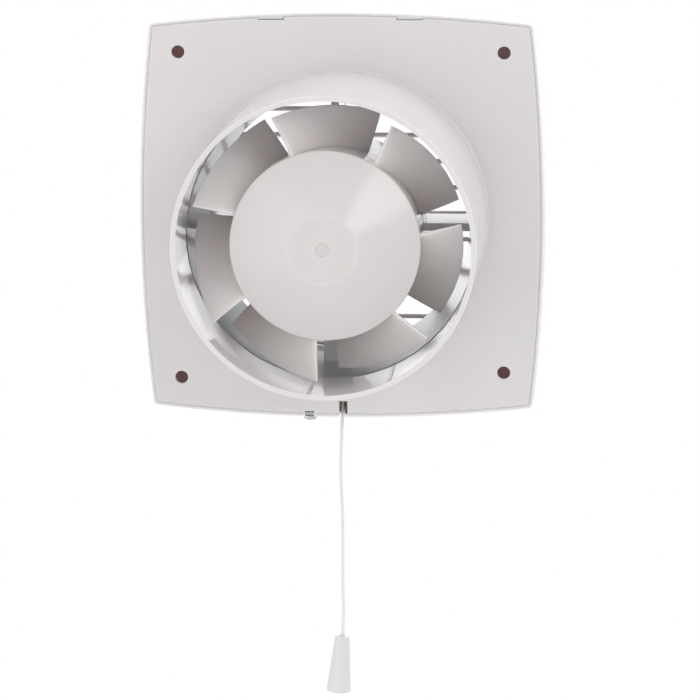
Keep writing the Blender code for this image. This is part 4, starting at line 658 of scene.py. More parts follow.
def metal(name, colour, rough=(0.25, 0.4)):
    """Plated or cast metal: patchy brightness, uneven roughness and a fine grain."""
    material, nodes, links, shader, coordinates = new_material(name)
    place = coordinates["Object"]
    patches = ranged(nodes, links, noise(nodes, links, place, PATCH_SCALE, detail=4.0), 0, 1)
    tone = blended(nodes, links, patches, darker(colour, PATCH_SHADE), colour)
    links.new(tone, shader.inputs["Base Color"])
    gloss = noise(nodes, links, place, METAL_GLOSS_SCALE)
    links.new(ranged(nodes, links, gloss, *rough), shader.inputs["Roughness"])
    bumped(nodes, links, shader, noise(nodes, links, place, METAL_GRAIN_SCALE, detail=2.0), METAL_GRAIN)
    shader.inputs["Metallic"].default_value = 1.0
    return material


def striped_metal(name, colour, pitch, axis="Y", rough=0.5):
    """Stacked sheets or wound wire: fine bands across one axis."""
    material, nodes, links, shader, coordinates = new_material(name)
    place = coordinates["Object"]
    wave = nodes.new("ShaderNodeTexWave")
    wave.wave_type = "BANDS"
    wave.bands_direction = axis
    put(wave, {"Scale": math.tau / (WAVE_FACTOR * pitch), "Distortion": BAND_WANDER, "Detail": 1.0,
               "Detail Scale": BAND_DETAIL_SCALE})
    links.new(place, wave.inputs["Vector"])
    bands = wave.outputs["Fac"]
    links.new(blended(nodes, links, bands, darker(colour, BAND_SHADE), colour), shader.inputs["Base Color"])
    gloss = noise(nodes, links, place, BAND_GLOSS_SCALE)
    roughness = ranged(nodes, links, gloss, rough - BAND_GLOSS_SPREAD, rough + BAND_GLOSS_SPREAD)
    links.new(roughness, shader.inputs["Roughness"])
    bumped(nodes, links, shader, bands, BAND_DEPTH)
    shader.inputs["Metallic"].default_value = 1.0
    return material


def math_node(nodes, links, operation, value, number):
    """Outcome of one operation on a value and on a number or a second value."""
    node = nodes.new("ShaderNodeMath")
    node.operation = operation
    links.new(value, node.inputs[0])
    if isinstance(number, (int, float)):
        node.inputs[1].default_value = number
    else:
        links.new(number, node.inputs[1])
    return node.outputs["Value"]


def braid(name, colour):
    """Braided fibre: two crossing sets of strands, laid out by the tube's own UV map."""
    material, nodes, links, shader, coordinates = new_material(name)
    split = nodes.new("ShaderNodeSeparateXYZ")
    links.new(coordinates["UV"], split.inputs["Vector"])
    around = math_node(nodes, links, "MULTIPLY", split.outputs["Y"], STRANDS_ROUND)
    strands = []
    for lay in (STRANDS_ALONG, -STRANDS_ALONG):
        along = math_node(nodes, links, "MULTIPLY", split.outputs["X"], lay)
        phase = math_node(nodes, links, "MULTIPLY", math_node(nodes, links, "ADD", along, around), math.tau)
        strands.append(math_node(nodes, links, "SINE", phase, 0.0))
    weave = math_node(nodes, links, "MULTIPLY", strands[0], strands[1])
    level = ranged(nodes, links, weave, 0, 1, -1, 1)
    links.new(blended(nodes, links, level, darker(colour, STRAND_SHADE), colour), shader.inputs["Base Color"])
    bumped(nodes, links, shader, level, STRAND_DEPTH)
    put(shader, {"Roughness": CORD_ROUGHNESS, "Sheen Weight": CORD_SHEEN})
    return material


CASING = plastic("casing_plastic", (0.68, 0.655, 0.66), rough=(0.09, 0.13), grain=0.0004, specular=0.2,
                 glow=0.35)
COVER = plastic("cover_plastic", (0.735, 0.715, 0.715), rough=(0.30, 0.36), grain=0.002, glow=0.9)
# The carrier's white plastic is much lighter and more lavender than the casing's: painted light, standing in
# for the light from the room side that falls on its ring and struts.
CARRIER_WITH_PAINTED_LIGHT = plastic("carrier_plastic", (0.95, 0.92, 0.95), rough=(0.12, 0.16), grain=0.0004, glow=0.9,
                  depth=6 * mm)
IMPELLER = plastic("impeller_plastic", (0.665, 0.635, 0.63), rough=(0.17, 0.21), grain=0.0006, glow=0.85,
                   depth=5 * mm)
KNOB = plastic("knob_plastic", (0.66, 0.655, 0.64), rough=(0.22, 0.28))
NYLON = plastic("nylon", (0.86, 0.84, 0.78), rough=(0.42, 0.52))
BLUE = plastic("blue_insulation", (0.06, 0.17, 0.50), rough=(0.38, 0.46), grain=0.002)
BROWN = plastic("brown_insulation", (0.22, 0.10, 0.05), rough=(0.38, 0.46), grain=0.002)
ZINC = metal("zinc_steel", (0.70, 0.70, 0.71))
CAST = metal("cast_zinc", (0.55, 0.56, 0.58), (0.4, 0.55))
BRONZE = metal("bearing_bronze", (0.55, 0.40, 0.22), (0.35, 0.5))
BRASS = metal("terminal_brass", (0.76, 0.60, 0.30), (0.2, 0.35))
STACK = striped_metal("laminated_steel", (0.34, 0.35, 0.37), 0.5 * mm)
COPPER = striped_metal("coil_copper", (0.74, 0.36, 0.20), 0.35 * mm, "X", 0.35)
CORD = braid("cord_fibre", (0.84, 0.82, 0.78))


# Camera and light

def make_camera():
    level = math.cos(CAMERA_ELEVATION)
    back = Vector((math.sin(CAMERA_AZIMUTH) * level, -math.cos(CAMERA_AZIMUTH) * level,
                   math.sin(CAMERA_ELEVATION)))
    data = bpy.data.cameras.new("camera")
    data.sensor_width = SENSOR_WIDTH
    data.lens = CAMERA_LENS
    camera = bpy.data.objects.new("camera", data)
    camera.location = Vector(CAMERA_TARGET) * mm + back * CAMERA_DISTANCE
    upright = back.to_track_quat("Z", "Y").to_matrix()
    camera.rotation_euler = (upright @ Matrix.Rotation(-CAMERA_ROLL, 3, "Z")).to_euler()
    bpy.context.scene.collection.objects.link(camera)
    bpy.context.scene.camera = camera


def softbox(name, toward, distance, size, brightness):
    """Square lamp that faces the object, with its brightness in units of the white backdrop."""
    data = bpy.data.lights.new(name, "AREA")
    data.shape = "SQUARE"
    data.size = size
    data.energy = brightness * math.pi * size ** 2
    light = bpy.data.objects.new(name, data)
    toward = Vector(toward).normalized()
    light.location = toward * distance
    light.rotation_euler = toward.to_track_quat("Z", "Y").to_euler()
    bpy.context.scene.collection.objects.link(light)


def make_light():
    bpy.context.scene.view_settings.view_transform = "Standard"
    world = bpy.data.worlds.new("studio")
    bpy.context.scene.world = world
    world.use_nodes = True
    nodes, links = world.node_tree.nodes, world.node_tree.links
    background = nodes["Background"]
    level = nodes.new("ShaderNodeMapRange")
    level.inputs["To Min"].default_value = BACKDROP_LIGHT
    links.new(seen_rays(nodes, links), level.inputs["Value"])
    links.new(level.outputs["Result"], background.inputs["Strength"])
    background.inputs["Color"].default_value = (1, 1, 1, 1)
    for name, setting in SOFTBOXES.items():
        softbox(name, *setting)


def seen_rays(nodes, links):
    """1 for the rays that see the backdrop: the camera's own, and those through gloss or glass."""
    path = nodes.new("ShaderNodeLightPath")
    value = path.outputs["Is Camera Ray"]
    for ray in ("Is Glossy Ray", "Is Transmission Ray"):
        value = math_node(nodes, links, "MAXIMUM", value, path.outputs[ray])
    return value


def make_floor():
    """Pale floor well below the fan, which the camera sees as the backdrop's white."""
    bm = bmesh.new()
    bmesh.ops.create_grid(bm, x_segments=1, y_segments=1, size=FLOOR_HALF,
                          matrix=Matrix.Translation((0, 0, FLOOR_Z)))
    floor = add_object("floor", bm)
    material = bpy.data.materials.new("pale_floor")
    material.use_nodes = True
    nodes, links = material.node_tree.nodes, material.node_tree.links
    shader = nodes["Principled BSDF"]
    put(shader, {"Base Color": (*FLOOR_GREY, 1), "Roughness": FLOOR_ROUGHNESS})
    glow = nodes.new("ShaderNodeEmission")
    mix = nodes.new("ShaderNodeMixShader")
    links.new(seen_rays(nodes, links), mix.inputs["Fac"])
    links.new(shader.outputs["BSDF"], mix.inputs[1])
    links.new(glow.outputs["Emission"], mix.inputs[2])
    links.new(mix.outputs["Shader"], nodes["Material Output"].inputs["Surface"])
    floor.data.materials.append(material)


# Casing

def hole_places():
    x, z = DUCT_RADIUS + HOLE_SIDE, DUCT_RADIUS + HOLE_ABOVE
    return [(x, z), (-x, z), (x, -z), (-x, -z + LOW_HOLE_RISE)]


def ear_places():
    offset = (FLANGE_RADIUS + EAR_OFFSET) / math.sqrt(2)
    return [(sx * offset, sz * offset) for sx in (1, -1) for sz in (1, -1)]


def clamp_posts():
    return [(CLAMP_X, CLAMP_Z + side * CLAMP_PITCH / 2) for side in (1, -1)]


def switch_ears():
    return [(side * SWITCH_EAR_X, SWITCH_EAR_Z) for side in (1, -1)]


def clip_floor():
    return side_at(COVER_HALF_HEIGHT, PLATE_INSET, CLIP_CENTRE + CLIP_WIDTH / 2) - CLIP_DEPTH


def boss_top():
    return bottom_at(PLATE_INSET, COVER_SCREW_X) + COVER_SCREW_LENGTH


def plate():
    """Back plate with a chamfered front edge, a ledge towards the cover and a broken rear edge."""
    inset = PLATE_INSET
    outline = [(inset + EDGE, PLATE_FRONT), (inset, PLATE_FRONT + EDGE), (inset, LEDGE_FRONT),
               (LEDGE_INSET, LEDGE_FRONT), (LEDGE_INSET, LEDGE_REAR), (inset, LEDGE_REAR),
               (inset, -PLATE_BREAK), (inset + PLATE_BREAK_STEP, -PLATE_BREAK_STEP), (inset + PLATE_BREAK, 0)]
    return loft([slice_at(step, y, PLATE_CORNER) for step, y in outline])


def spigot():
    """Duct with a fillet at its root and a round rim, solid until it is bored."""
    root = [(0, PLATE_FRONT / 2), (DUCT_RADIUS + DUCT_FILLET, PLATE_FRONT / 2)]
    fillet = arc((DUCT_RADIUS + DUCT_FILLET, DUCT_FILLET), DUCT_FILLET, 270, 180, FILLET_STEPS)
    edge = arc((DUCT_RADIUS - DUCT_EDGE, DUCT_LENGTH - DUCT_EDGE), DUCT_EDGE, 0, 90, DUCT_EDGE_STEPS)
    return turned(root + [(r, y - FILLET_SINK) for r, y in fillet] + edge + [(0, DUCT_LENGTH)])


def stiffening_rib():
    """Rib that runs round inside the plate's edge, on the room side."""
    root = PLATE_FRONT + EMBED
    low = PLATE_INSET + RIB_INSET
    high = low + RIB_WIDTH
    section = [(low, root), (low, RIB_FRONT), (high, RIB_FRONT), (high, root)]
    return loft([slice_at(inset, y) for inset, y in section], closed=True)


def casing_posts():
    """Posts under the switch and the cable clamp, and the boss for the cover's screw."""
    root = PLATE_FRONT + EMBED
    posts = [bar(x, z, root, SWITCH_SEAT, SWITCH_POST) for x, z in switch_ears()]
    posts += [bar(x, z, root, CLAMP_SEAT, CLAMP_POST) for x, z in clamp_posts()]
    half = SCREW_RADIUS + GAP + BOSS_WALL
    foot = bottom_at(PLATE_INSET, COVER_SCREW_X) + BOSS_RISE
    boss = slab(COVER_SCREW_X, half, (COVER_SCREW_Y - half, foot), (root, boss_top()), EDGE)
    return posts + [boss]


def casing_holes():
    """Bore, knock-out and the holes for screws."""
    before = PLATE_FRONT - REACH
    bore = bar(0, 0, RIB_FRONT - REACH, DUCT_LENGTH + REACH, BORE_RADIUS, ROUND_COUNT)
    knockout = bar(KNOCKOUT_X, CLAMP_Z, before, -KNOCKOUT_SKIN, KNOCKOUT_RADIUS, MEDIUM_COUNT)
    boss_hole = rod((COVER_SCREW_X, COVER_SCREW_Y, bottom_at(LEDGE_INSET, 0) - REACH),
                    (COVER_SCREW_X, COVER_SCREW_Y, boss_top() - BLIND), SCREW_RADIUS + GAP)
    holes = [bar(x, z, before, REACH, HOLE_RADIUS, MEDIUM_COUNT) for x, z in hole_places()]
    holes += [bar(x, z, before, -BLIND, SCREW_RADIUS + GAP) for x, z in ear_places()]
    holes += [bar(x, z, SWITCH_SEAT - REACH, -BLIND, SCREW_RADIUS + GAP) for x, z in switch_ears()]
    holes += [bar(x, z, CLAMP_SEAT - REACH, -BLIND, SMALL_SCREW + GAP) for x, z in clamp_posts()]
    return [bore, knockout, boss_hole] + holes


def casing_notches():
    """Notches in the plate's edge for the cord and the cover's screw, a relief, and the hooks' recesses."""
    edge, plate_edge = bottom_at(LEDGE_INSET, 0), bottom_at(PLATE_INSET, 0)
    before, below = PLATE_FRONT - REACH, edge - REACH
    cord_notch = slab(NOTCH_X, NOTCH_HALF, (RIB_FRONT - REACH, below), (REACH, NOTCH_TOP))
    screw_notch = slab(COVER_SCREW_X, SCREW_NOTCH_HALF, (before, below),
                       (REACH, plate_edge + SCREW_NOTCH_HEIGHT))
    relief = slab(RELIEF_CENTRE, RELIEF_WIDTH / 2, (LEDGE_REAR, below), (REACH, plate_edge + RELIEF_HEIGHT))
    clips = [slab(side * CLIP_CENTRE, CLIP_WIDTH / 2, (before, clip_floor()), (REACH, -below))
             for side in (1, -1)]
    return [cord_notch, screw_notch, relief] + clips


def make_casing():
    casing = add_object("casing_fine", plate())
    fuse(casing, [spigot(), stiffening_rib()])
    fuse(casing, casing_posts())
    cut(casing, casing_holes() + casing_notches())
    soften(casing, SHELL_SOFTENING)
    stand_for(casing, "casing", "fan", CASING)


# Front cover and louvre

def cover_shell():
    """Crowned frame round the window, whose sides wrap round the plate."""
    crown, wall, edge = COVER_CROWN, COVER_WALL, RIM_EDGE
    outer_crown = arc((crown, COVER_FACE + crown), crown, 180, 270, CROWN_STEPS)
    inner_crown = arc((crown, COVER_FACE + crown), crown - wall, 270, 180, INNER_CROWN_STEPS)
    outer = [(edge, -COVER_SETBACK), (0, -COVER_SETBACK - edge)] + outer_crown
    lip = [(WINDOW_INSET - WINDOW_EDGE, COVER_FACE), (WINDOW_INSET, COVER_FACE + WINDOW_EDGE)]
    inner = [(WINDOW_INSET, COVER_INNER)] + inner_crown + [(wall, -COVER_SETBACK)]
    rings = []
    for inset, y in outer + lip:
        share = min(inset / crown, 1)
        rings.append(slice_at(inset, y, CORNER_RADIUS + (WINDOW_CORNER - CORNER_RADIUS) * share))
    for inset, y in inner:
        share = min(max(inset - wall, 0) / (crown - wall), 1)
        rings.append(slice_at(inset, y, PLATE_CORNER + (WINDOW_CORNER - PLATE_CORNER) * share))
    return loft(rings, closed=True)


def make_cover():
    cover = add_object("cover_frame_fine", cover_shell())
    inside = side_at(COVER_HALF_HEIGHT, COVER_WALL, CLIP_CENTRE - CLIP_WIDTH / 2)
    hooks = [slab(side * CLIP_CENTRE, CLIP_WIDTH / 2 - GAP, (-HOOK_LENGTH, clip_floor() + GAP),
                  (-COVER_SETBACK, inside + EMBED)) for side in (1, -1)]
    fuse(cover, hooks)
    low = bottom_at(0, 0) - REACH
    high = bottom_at(COVER_WALL, 0) + 2 * REACH
    slot = slab(CORD_X, CORD_SLOT_HALF, (SWITCH_Y - CORD_SLOT_DEPTH, low), (REACH, high))
    notch_front = COVER_SCREW_Y + SCREW_RADIUS + SCREW_NOTCH_START
    notch = slab(COVER_SCREW_X, SCREW_NOTCH_HALF, (notch_front, low), (REACH, high))
    hole = rod((COVER_SCREW_X, COVER_SCREW_Y, low), (COVER_SCREW_X, COVER_SCREW_Y, high), SCREW_RADIUS + GAP,
               MEDIUM_COUNT)
    cut(cover, [slot, notch, hole])
    soften(cover, SHELL_SOFTENING)
    stand_for(cover, "cover_frame", "fan", COVER)


def make_louvre():
    outer = WINDOW_INSET + GAP
    inner = outer + LOUVRE_RING
    lip_front = COVER_INNER + GAP
    lip_rear = lip_front + LIP_THICKNESS
    slat_rear = COVER_FACE + SLAT_SETBACK + SLAT_DEPTH
    slat_front = slat_rear - SLAT_DEPTH
    ring_front, ring_rear = COVER_FACE + LOUVRE_SETBACK, slat_rear + RING_STEP
    profile = [(outer, ring_front), (outer, lip_front), (outer - LOUVRE_LIP, lip_front),
               (outer - LOUVRE_LIP, lip_rear), (outer + RING_STEP, lip_rear), (outer + RING_STEP, ring_rear),
               (inner, ring_rear), (inner, ring_front)]
    ring = loft([slice_at(inset, y, LOUVRE_CORNER) for inset, y in profile], closed=True)
    louvre = add_object("cover_louvre_fine", ring)
    top = side_at(COVER_HALF_HEIGHT, inner, 0)
    pitch = 2 * top / (SLAT_COUNT + 1)
    half = SLAT_BODY / 2
    nose = arc((0, 0), half, 90, -90, NOSE_STEPS)
    slats = []
    for i in range(SLAT_COUNT):
        z = (i - (SLAT_COUNT - 1) / 2) * pitch
        section = [(slat_rear - half + a, z + b) for a, b in nose]
        section += [(slat_front + half - a, z - SLAT_FALL - b) for a, b in nose]
        reach = side_at(COVER_HALF_WIDTH, inner, z) + LOUVRE_RING / 2
        slats.append(loft([[(x, y, w) for y, w in section] for x in (-reach, reach)]))
    end = top + LOUVRE_RING / 2
    backbone = slab(0, BACKBONE_HALF, (slat_rear - SLAT_DEPTH / 2, -end), (slat_rear - SLAT_DEPTH / 10, end),
                    EDGE)
    fuse(louvre, slats + [backbone])
    soften(louvre, INSERT_SOFTENING)
    stand_for(louvre, "cover_louvre", "fan", COVER)


# Motor carrier

def strut(width, turn):
    """Strut from the cup to the ring, turned about the duct's axis by so many degrees."""
    slope = RING_TAPER / (RING_REAR - THROAT_Y)
    inner = CUP_RADIUS - CUP_DRAFT - CUP_WALL / 2
    throat = THROAT_RADIUS + RING_WALL / 2
    outline = [(inner, STRUT_FRONT), (throat + STRUT_TOE, STRUT_FRONT), (throat, THROAT_Y),
               (throat + slope * (STRUT_DEPTH - THROAT_Y), STRUT_DEPTH), (inner, STRUT_DEPTH)]
    solid = loft([[(r, y, z) for r, y in outline] for z in (-width / 2, width / 2)])
    return moved(solid, Matrix.Rotation(math.radians(turn), 4, "Y"))


def screw_places():
    return [(sx * MOTOR_SCREW_X, sz * MOTOR_SCREW_Z) for sx in (1, -1) for sz in (1, -1)]


def carrier_ring():
    """Inlet ring: a flange on the plate, a bell mouth, and a wall that tapers out to the duct's."""
    turns = [math.radians(a) for a in spread(0, 90, MOUTH_STEPS)]
    depth = FLANGE_FRONT - THROAT_Y
    mouth = [(THROAT_RADIUS + MOUTH_FLARE * (1 - math.cos(t)), THROAT_Y + depth * math.sin(t)) for t in turns]
    seat = BORE_RADIUS - RING_SEAT
    rear = [(seat, RING_REAR), (seat - RING_EDGE, RING_REAR)]
    outside = [(FLANGE_RADIUS, FLANGE_FRONT), (FLANGE_RADIUS, FLANGE_REAR), (RING_RADIUS, FLANGE_REAR),
               (RING_RADIUS, STRUT_FRONT), (THROAT_RADIUS + RING_WALL, THROAT_Y),
               (seat, RING_REAR - RING_WALL)]
    return turned(rear + mouth + outside)


def motor_cup():
    foot = CUP_RADIUS - CUP_DRAFT
    floor_edge = arc((foot - CUP_ROUND, CUP_ROUND), CUP_ROUND, -90, 0, CUP_EDGE_STEPS)
    wall = [(CUP_RADIUS, CUP_REAR - EDGE), (CUP_RADIUS - EDGE, CUP_REAR), (CUP_RADIUS - CUP_WALL, CUP_REAR),
            (foot - CUP_WALL, CUP_WALL), (0, CUP_WALL)]
    return turned([(0, 0)] + floor_edge + wall)


def carrier_openings():
    """The leads' channel and its door into the cup, the ears' holes and the vents in the cup's floor."""
    room = CHANNEL_WIDTH / 2 - CHANNEL_WALL
    trough = slab(0, room, (-REACH, -THROAT_RADIUS + STRUT_TOE),
                  (STRUT_DEPTH - CHANNEL_WALL, -CUP_RADIUS - CHANNEL_END))
    doorway = slab(0, room, (DOOR_FRONT, -CUP_RADIUS - REACH), (DOOR_REAR, -CUP_RADIUS + CUP_WALL + REACH))
    ear_holes = [bar(x, z, EAR_REAR + REACH, EAR_FRONT - REACH, SCREW_RADIUS + GAP) for x, z in ear_places()]
    vents = [moved(vent_slot(), Matrix.Rotation((i + 0.5) * math.tau / VENT_COUNT, 4, "Y"))
             for i in range(VENT_COUNT)]
    return [trough, doorway] + ear_holes + vents


def make_carrier():
    carrier = add_object("motor_carrier_fine", carrier_ring())
    struts = [strut(STRUT_THICKNESS, turn) for turn in (0, -90, 180)] + [strut(CHANNEL_WIDTH, 90)]
    posts = [bar(x, z, CUP_WALL - EMBED, POST_TOP, POST_RADIUS) for x, z in screw_places()]
    ears = [bar(x, z, EAR_REAR, EAR_FRONT, EAR_RADIUS, MEDIUM_COUNT) for x, z in ear_places()]
    fuse(carrier, [motor_cup()] + struts + posts + ears)
    cut(carrier, carrier_openings())
    soften(carrier, INSERT_SOFTENING)
    stand_for(carrier, "motor_carrier", "fan", CARRIER_WITH_PAINTED_LIGHT)


def vent_slot():
    return block((VENT_INNER, -REACH, -VENT_WIDTH / 2), (VENT_OUTER, CUP_WALL + REACH, VENT_WIDTH / 2))


# Impeller

def blade(index):
    """Blade on a helix about the axis, with round edges, camber, and a tip thinner than its root."""
    base_angle = BLADE_REAR_ANGLE - index * math.tau / BLADE_COUNT
    rise = BLADE_REAR - BLADE_FRONT
    root_radius = HUB_RADIUS - BLADE_ROOT
    rings = []
    for outward in spread(0, 1, BLADE_STATIONS - 1):
        thickness = BLADE_ROOT_THICKNESS + (BLADE_TIP_THICKNESS - BLADE_ROOT_THICKNESS) * outward
        upper, lower = [], []
        for i in range(CHORD_STEPS + 1):
            s = 0.5 - 0.5 * math.cos(math.pi * i / CHORD_STEPS)
            tip = BLADE_TIP_REAR + (BLADE_TIP_FRONT - BLADE_TIP_REAR) * s
            radius = root_radius + (tip - root_radius) * outward
            angle = base_angle + BLADE_LEAN * (1 - outward) + BLADE_TURN * s
            y = BLADE_REAR - rise * (s + BLADE_CAMBER * s * (1 - s))
            slope_y = -rise * (1 + BLADE_CAMBER * (1 - 2 * s))
            slope_arc = radius * BLADE_TURN
            length = math.hypot(slope_y, slope_arc)
            edge = min(s, 1 - s) * length / (0.5 * thickness)
            fullness = math.sqrt(max(0, 1 - (1 - min(edge, 1)) ** 2))
            half = 0.5 * thickness * (fullness * (1 - BLADE_BLUNTNESS) + BLADE_BLUNTNESS)
            for side, points in ((1, upper), (-1, lower)):
                turn = angle - side * half * slope_y / length / radius
                depth = y + side * half * slope_arc / length
                points.append((radius * math.cos(turn), depth, radius * math.sin(turn)))
        rings.append((upper, lower))
    return blade_skin(rings)


def blade_skin(rings):
    """Closed skin over a blade's stations, each an upper and a lower row of points."""
    bm = bmesh.new()
    grids = [[[bm.verts.new(p) for p in row] for row in ring] for ring in rings]
    for a, b in zip(grids, grids[1:]):
        for face in (0, 1):
            for i in range(len(a[face]) - 1):
                bm.faces.new((a[face][i], a[face][i + 1], b[face][i + 1], b[face][i]))
        for i in (0, -1):
            bm.faces.new((a[0][i], b[0][i], b[1][i], a[1][i]))
    for upper, lower in (grids[0], grids[-1]):
        for i in range(len(upper) - 1):
            bm.faces.new((upper[i], upper[i + 1], lower[i + 1], lower[i]))
    return fresh(bm)


def hub():
    """Hollow hub under a shallow cone, with a dimple outside and a boss for the shaft inside."""
    front, ceiling, dimple = HUB_RADIUS - HUB_DRAFT, HUB_TOP - HUB_CROWN_WALL, HUB_TOP - DIMPLE_DEPTH
    inside = [(0, SHAFT_REAR + GAP), (BORE, SHAFT_REAR + GAP), (BORE, BOSS_FRONT), (BOSS_RADIUS, BOSS_FRONT),
              (BOSS_RADIUS, ceiling), (HUB_FLAT, ceiling), (HUB_INNER, HUB_EDGE - HUB_WALL)]
    outside = [(front - HUB_WALL, HUB_FRONT), (front, HUB_FRONT), (HUB_RADIUS, HUB_EDGE), (HUB_FLAT, HUB_TOP),
               (DIMPLE_RADIUS + DIMPLE_EDGE, HUB_TOP), (DIMPLE_RADIUS, dimple), (0, dimple)]
    radii = (EDGE, EDGE, HUB_ROUND, HUB_FLAT_EDGE * 2, EDGE, EDGE)
    return turned(rounded(inside + outside, dict(enumerate(radii, len(inside)))))


def hub_rib(index):
    """Rib inside the hub, from its boss to its wall."""
    inner, outer, ceiling = BOSS_RADIUS - EMBED, HUB_INNER + EMBED - HUB_DRAFT, HUB_TOP - HUB_WALL
    section = [(inner, HUB_RIB_FRONT), (outer, HUB_RIB_FRONT), (outer, HUB_EDGE - HUB_WALL),
               (HUB_FLAT, ceiling), (inner, ceiling)]
    rib = loft([[(r, y, z) for r, y in section] for z in (-HUB_RIB / 2, HUB_RIB / 2)])
    return moved(rib, Matrix.Rotation(index * math.tau / BLADE_COUNT, 4, "Y"))


def make_impeller():
    impeller = add_object("impeller_fine", hub())
    fuse(impeller, [hub_rib(i) for i in range(BLADE_COUNT)] + [blade(i) for i in range(BLADE_COUNT)])
    smooth(impeller, MOULDED_SHARP)
    stand_for(impeller, "impeller", "impeller_set", IMPELLER)


# Cord and knob

def knob_point(along):
    """Point on the knob's axis, so far below its top."""
    aside, down = along * math.sin(KNOB_TILT), along * math.cos(KNOB_TILT)
    return Vector((KNOB_TOP_X + aside, SWITCH_Y, KNOB_TOP_Z - down))


def cord_route():
    top = Vector((CORD_X, SWITCH_Y, PLUNGER_END + CORD_SOCKET - CORD_END))
    hanging = [Vector((CORD_X + aside * mm, SWITCH_Y, -COVER_HALF_HEIGHT - part * CORD_FREE))
               for part, aside in CORD_SWAY]
    return [top] + hanging + [knob_point(0), knob_point(CORD_BITE / 2), knob_point(CORD_BITE)]


def smooth_route(points, step):
    """Evenly stepped points of a smooth curve through a route's own points, and its length."""
    route = [Vector(p) for p in points]
    route = [2 * route[0] - route[1]] + route + [2 * route[-1] - route[-2]]
    fine = []
    for a, b, c, d in zip(route, route[1:], route[2:], route[3:]):
        for t in spread(0, 1, ROUTE_STEPS)[:-1]:
            fine.append(0.5 * (2 * b + (c - a) * t + (2 * a - 5 * b + 4 * c - d) * t ** 2
                               + (3 * b - a - 3 * c + d) * t ** 3))
    fine.append(route[-2])
    length = sum((q - p).length for p, q in zip(fine, fine[1:]))
    marks = spread(0, length, max(2, round(length / step)))
    even, travelled, i = [fine[0]], 0.0, 0
    for mark in marks[1:-1]:
        while travelled + (fine[i + 1] - fine[i]).length < mark:
            travelled += (fine[i + 1] - fine[i]).length
            i += 1
        even.append(fine[i].lerp(fine[i + 1], (mark - travelled) / (fine[i + 1] - fine[i]).length))
    return even + [fine[-1]], length


def tube(name, points, radius):
    """Tube along points with a UV map: U along the cord in diameters, V round it."""
    sides = CORD_SIDES
    bm = bmesh.new()
    layer = bm.loops.layers.uv.new("UVMap")
    rings = []
    for i, p in enumerate(points):
        ahead = (points[min(i + 1, len(points) - 1)] - points[max(i - 1, 0)]).normalized()
        across = Vector((0, 1, 0)).cross(ahead).normalized()
        other = ahead.cross(across)
        rings.append([bm.verts.new(p + (across * math.cos(a) + other * math.sin(a)) * radius)
                      for a in spread(0, math.tau, sides)[:-1]])
    travelled = 0.0
    for i in range(len(rings) - 1):
        step = (points[i + 1] - points[i]).length
        for k in range(sides):
            j = (k + 1) % sides
            face = bm.faces.new((rings[i][k], rings[i][j], rings[i + 1][j], rings[i + 1][k]))
            ends = (travelled, travelled, travelled + step, travelled + step)
            for loop, u, v in zip(face.loops, ends, (k, k + 1, k + 1, k)):
                loop[layer].uv = (u / (2 * radius), v / sides)
        travelled += step
    bm.faces.new(rings[0])
    bm.faces.new(rings[-1])
    thing = add_object(name, fresh(bm))
    smooth(thing, TUBE_SHARP)
    return thing


def make_knob():
    """Hollow tapered knob, hung on the cord's tilted end."""
    socket = CORD_RADIUS + GAP
    taper = (KNOB_BASE_RADIUS - KNOB_TOP_RADIUS) / KNOB_LENGTH
    inner_top = KNOB_TOP_RADIUS + taper * KNOB_CROWN - KNOB_WALL
    end, edge = -KNOB_LENGTH, KNOB_BASE_ROUND
    top = [(socket, -KNOB_CROWN), (socket, -KNOB_FLARE_DEPTH), (socket + KNOB_FLARE, 0)]
    top_rim = arc((KNOB_TOP_RADIUS - KNOB_TOP_ROUND, -KNOB_TOP_ROUND), KNOB_TOP_ROUND, 90, KNOB_SIDE_ANGLE,
                  KNOB_TOP_STEPS)
    low_rim = arc((KNOB_BASE_RADIUS - edge, end + edge), edge, 0, -90, KNOB_BASE_STEPS)
    inside = [(KNOB_BASE_RADIUS - KNOB_WALL - KNOB_LIP, end), (inner_top, -KNOB_CROWN)]
    upright = Matrix.Rotation(math.pi / 2, 4, "X")
    tilt = Matrix.Rotation(-KNOB_TILT, 4, "Y")
    place = Matrix.Translation(knob_point(0)) @ tilt @ upright
    knob = add_object("cord_knob_fine", moved(turned(top + top_rim + low_rim + inside, KNOB_COUNT), place))
    smooth(knob, MOULDED_SHARP)
    stand_for(knob, "cord_knob", "pull_switch", KNOB)
    return knob


def make_pull():
    points, length = smooth_route(cord_route(), CORD_STEP)
    cord = tube("pull_cord_fine", points, CORD_RADIUS)
    stand_for(cord, "pull_cord", "pull_switch", CORD)
    knob = make_knob()


def make_spring():
    """Compression spring between the cavity's floor and the plunger's cap, made at one length."""
    low, high = CAVITY_FLOOR + SPRING_WIRE + GAP, CAP_BOTTOM - SPRING_WIRE - GAP
    rings = []
    for t in spread(0, 1, SPRING_STEPS * SPRING_TURN_COUNT):
        turn = math.tau * SPRING_TURN_COUNT * t
        out = Vector((math.cos(turn), math.sin(turn), 0))
        middle = Vector((CORD_X, SWITCH_Y, low + (high - low) * t)) + out * SPRING_RADIUS
        rings.append([middle + (out * math.cos(a) + Vector((0, 0, math.sin(a)))) * SPRING_WIRE
                      for a in spread(0, math.tau, SPRING_SIDES)[:-1]])
    spring = add_object("switch_spring_fine", loft(rings))
    smooth(spring, TUBE_SHARP)
    stand_for(spring, "switch_spring", "fan", ZINC)
    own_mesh(spring)


# Screws

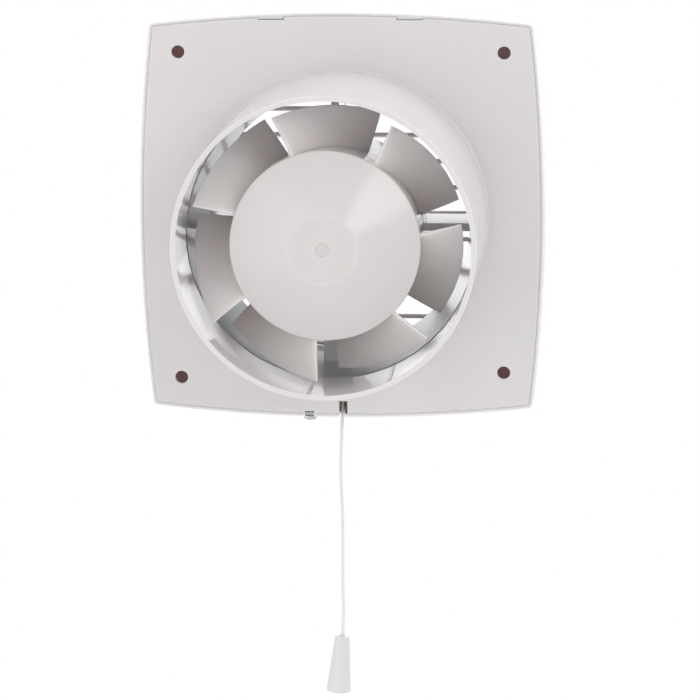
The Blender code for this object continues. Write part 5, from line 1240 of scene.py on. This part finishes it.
def fine_screw(name, length, node, place):
    """Screw with a domed head and a cross recess, its head's underside at the origin."""
    radius, head, dome = SCREW_RADIUS, SCREW_HEAD, SCREW_DOME
    shank = [(0, -length), (radius / 2, -length), (radius, radius - length), (radius, 0)]
    foot = HEAD_FOOT * dome
    crown = [(head, 0)] + [(head * math.cos(t), foot + (dome - foot) * math.sin(t))
                           for t in (math.radians(a) for a in spread(0, 90, HEAD_STEPS))]
    crown[-1] = (0, dome)
    screw = add_object(name, turned(shank + crown, SMALL_COUNT))
    arm, half, floor = CROSS_ARM * head, CROSS_HALF * head, CROSS_FLOOR * dome
    cross = [slab(0, arm, (floor, -half), (dome + REACH, half)),
             slab(0, half, (floor - CROSS_OFFSET, -arm), (dome + REACH + CROSS_OFFSET, arm))]
    cut(screw, cross)
    smooth(screw, SCREW_SHARP)
    screw.data.transform(place)
    stand_for(screw, node, "fan", ZINC)


def make_screws():
    to_front = Matrix.Rotation(math.pi, 4, "X")
    upward = Matrix.Rotation(-math.pi / 2, 4, "X")
    seat = bottom_at(0, COVER_SCREW_X - SCREW_HEAD) - GAP
    fine_screw("cover_screw_fine", COVER_SCREW_LENGTH, "cover_screw",
               Matrix.Translation((COVER_SCREW_X, COVER_SCREW_Y, seat)) @ upward)
    for i, (x, z) in enumerate(ear_places(), 1):
        fine_screw(f"carrier_screw_fine_{i}", -EAR_FRONT - BLIND, f"carrier_screw_{i}",
                   Matrix.Translation((x, EAR_FRONT - GAP, z)) @ to_front)


# Pieces that stay as they were packed

def finish_nodes():
    """Give each piece that stays as packed the finish that its name calls for."""
    looks = (
        (STACK, ("stator_yoke", "stator_bar", "rotor")),
        (COPPER, ("coil_winding",)),
        (CAST, ("front_bracket", "rear_bracket")),
        (BRONZE, ("front_bearing", "rear_bearing")),
        (ZINC, ("motor_shaft", "motor_screw", "impeller_clip", "switch_screw", "clamp_screw")),
        (NYLON, ("coil_bobbin", "switch_body", "switch_plunger", "terminal_block", "cable_clamp")),
        (BRASS, ("switch_terminal", "terminal_screw")),
        (BLUE, ("lead_coil_to_block",)),
        (BROWN, ("lead_coil_to_switch", "lead_switch_to_block")),
    )
    for material, starts in looks:
        for name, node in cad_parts.items():
            if name.startswith(starts):
                for slot in node.material_slots:
                    slot.material = material


make_camera()
make_pull()
make_light()
make_floor()
make_casing()
make_cover()
make_louvre()
make_carrier()
make_impeller()
make_spring()
make_screws()
finish_nodes()
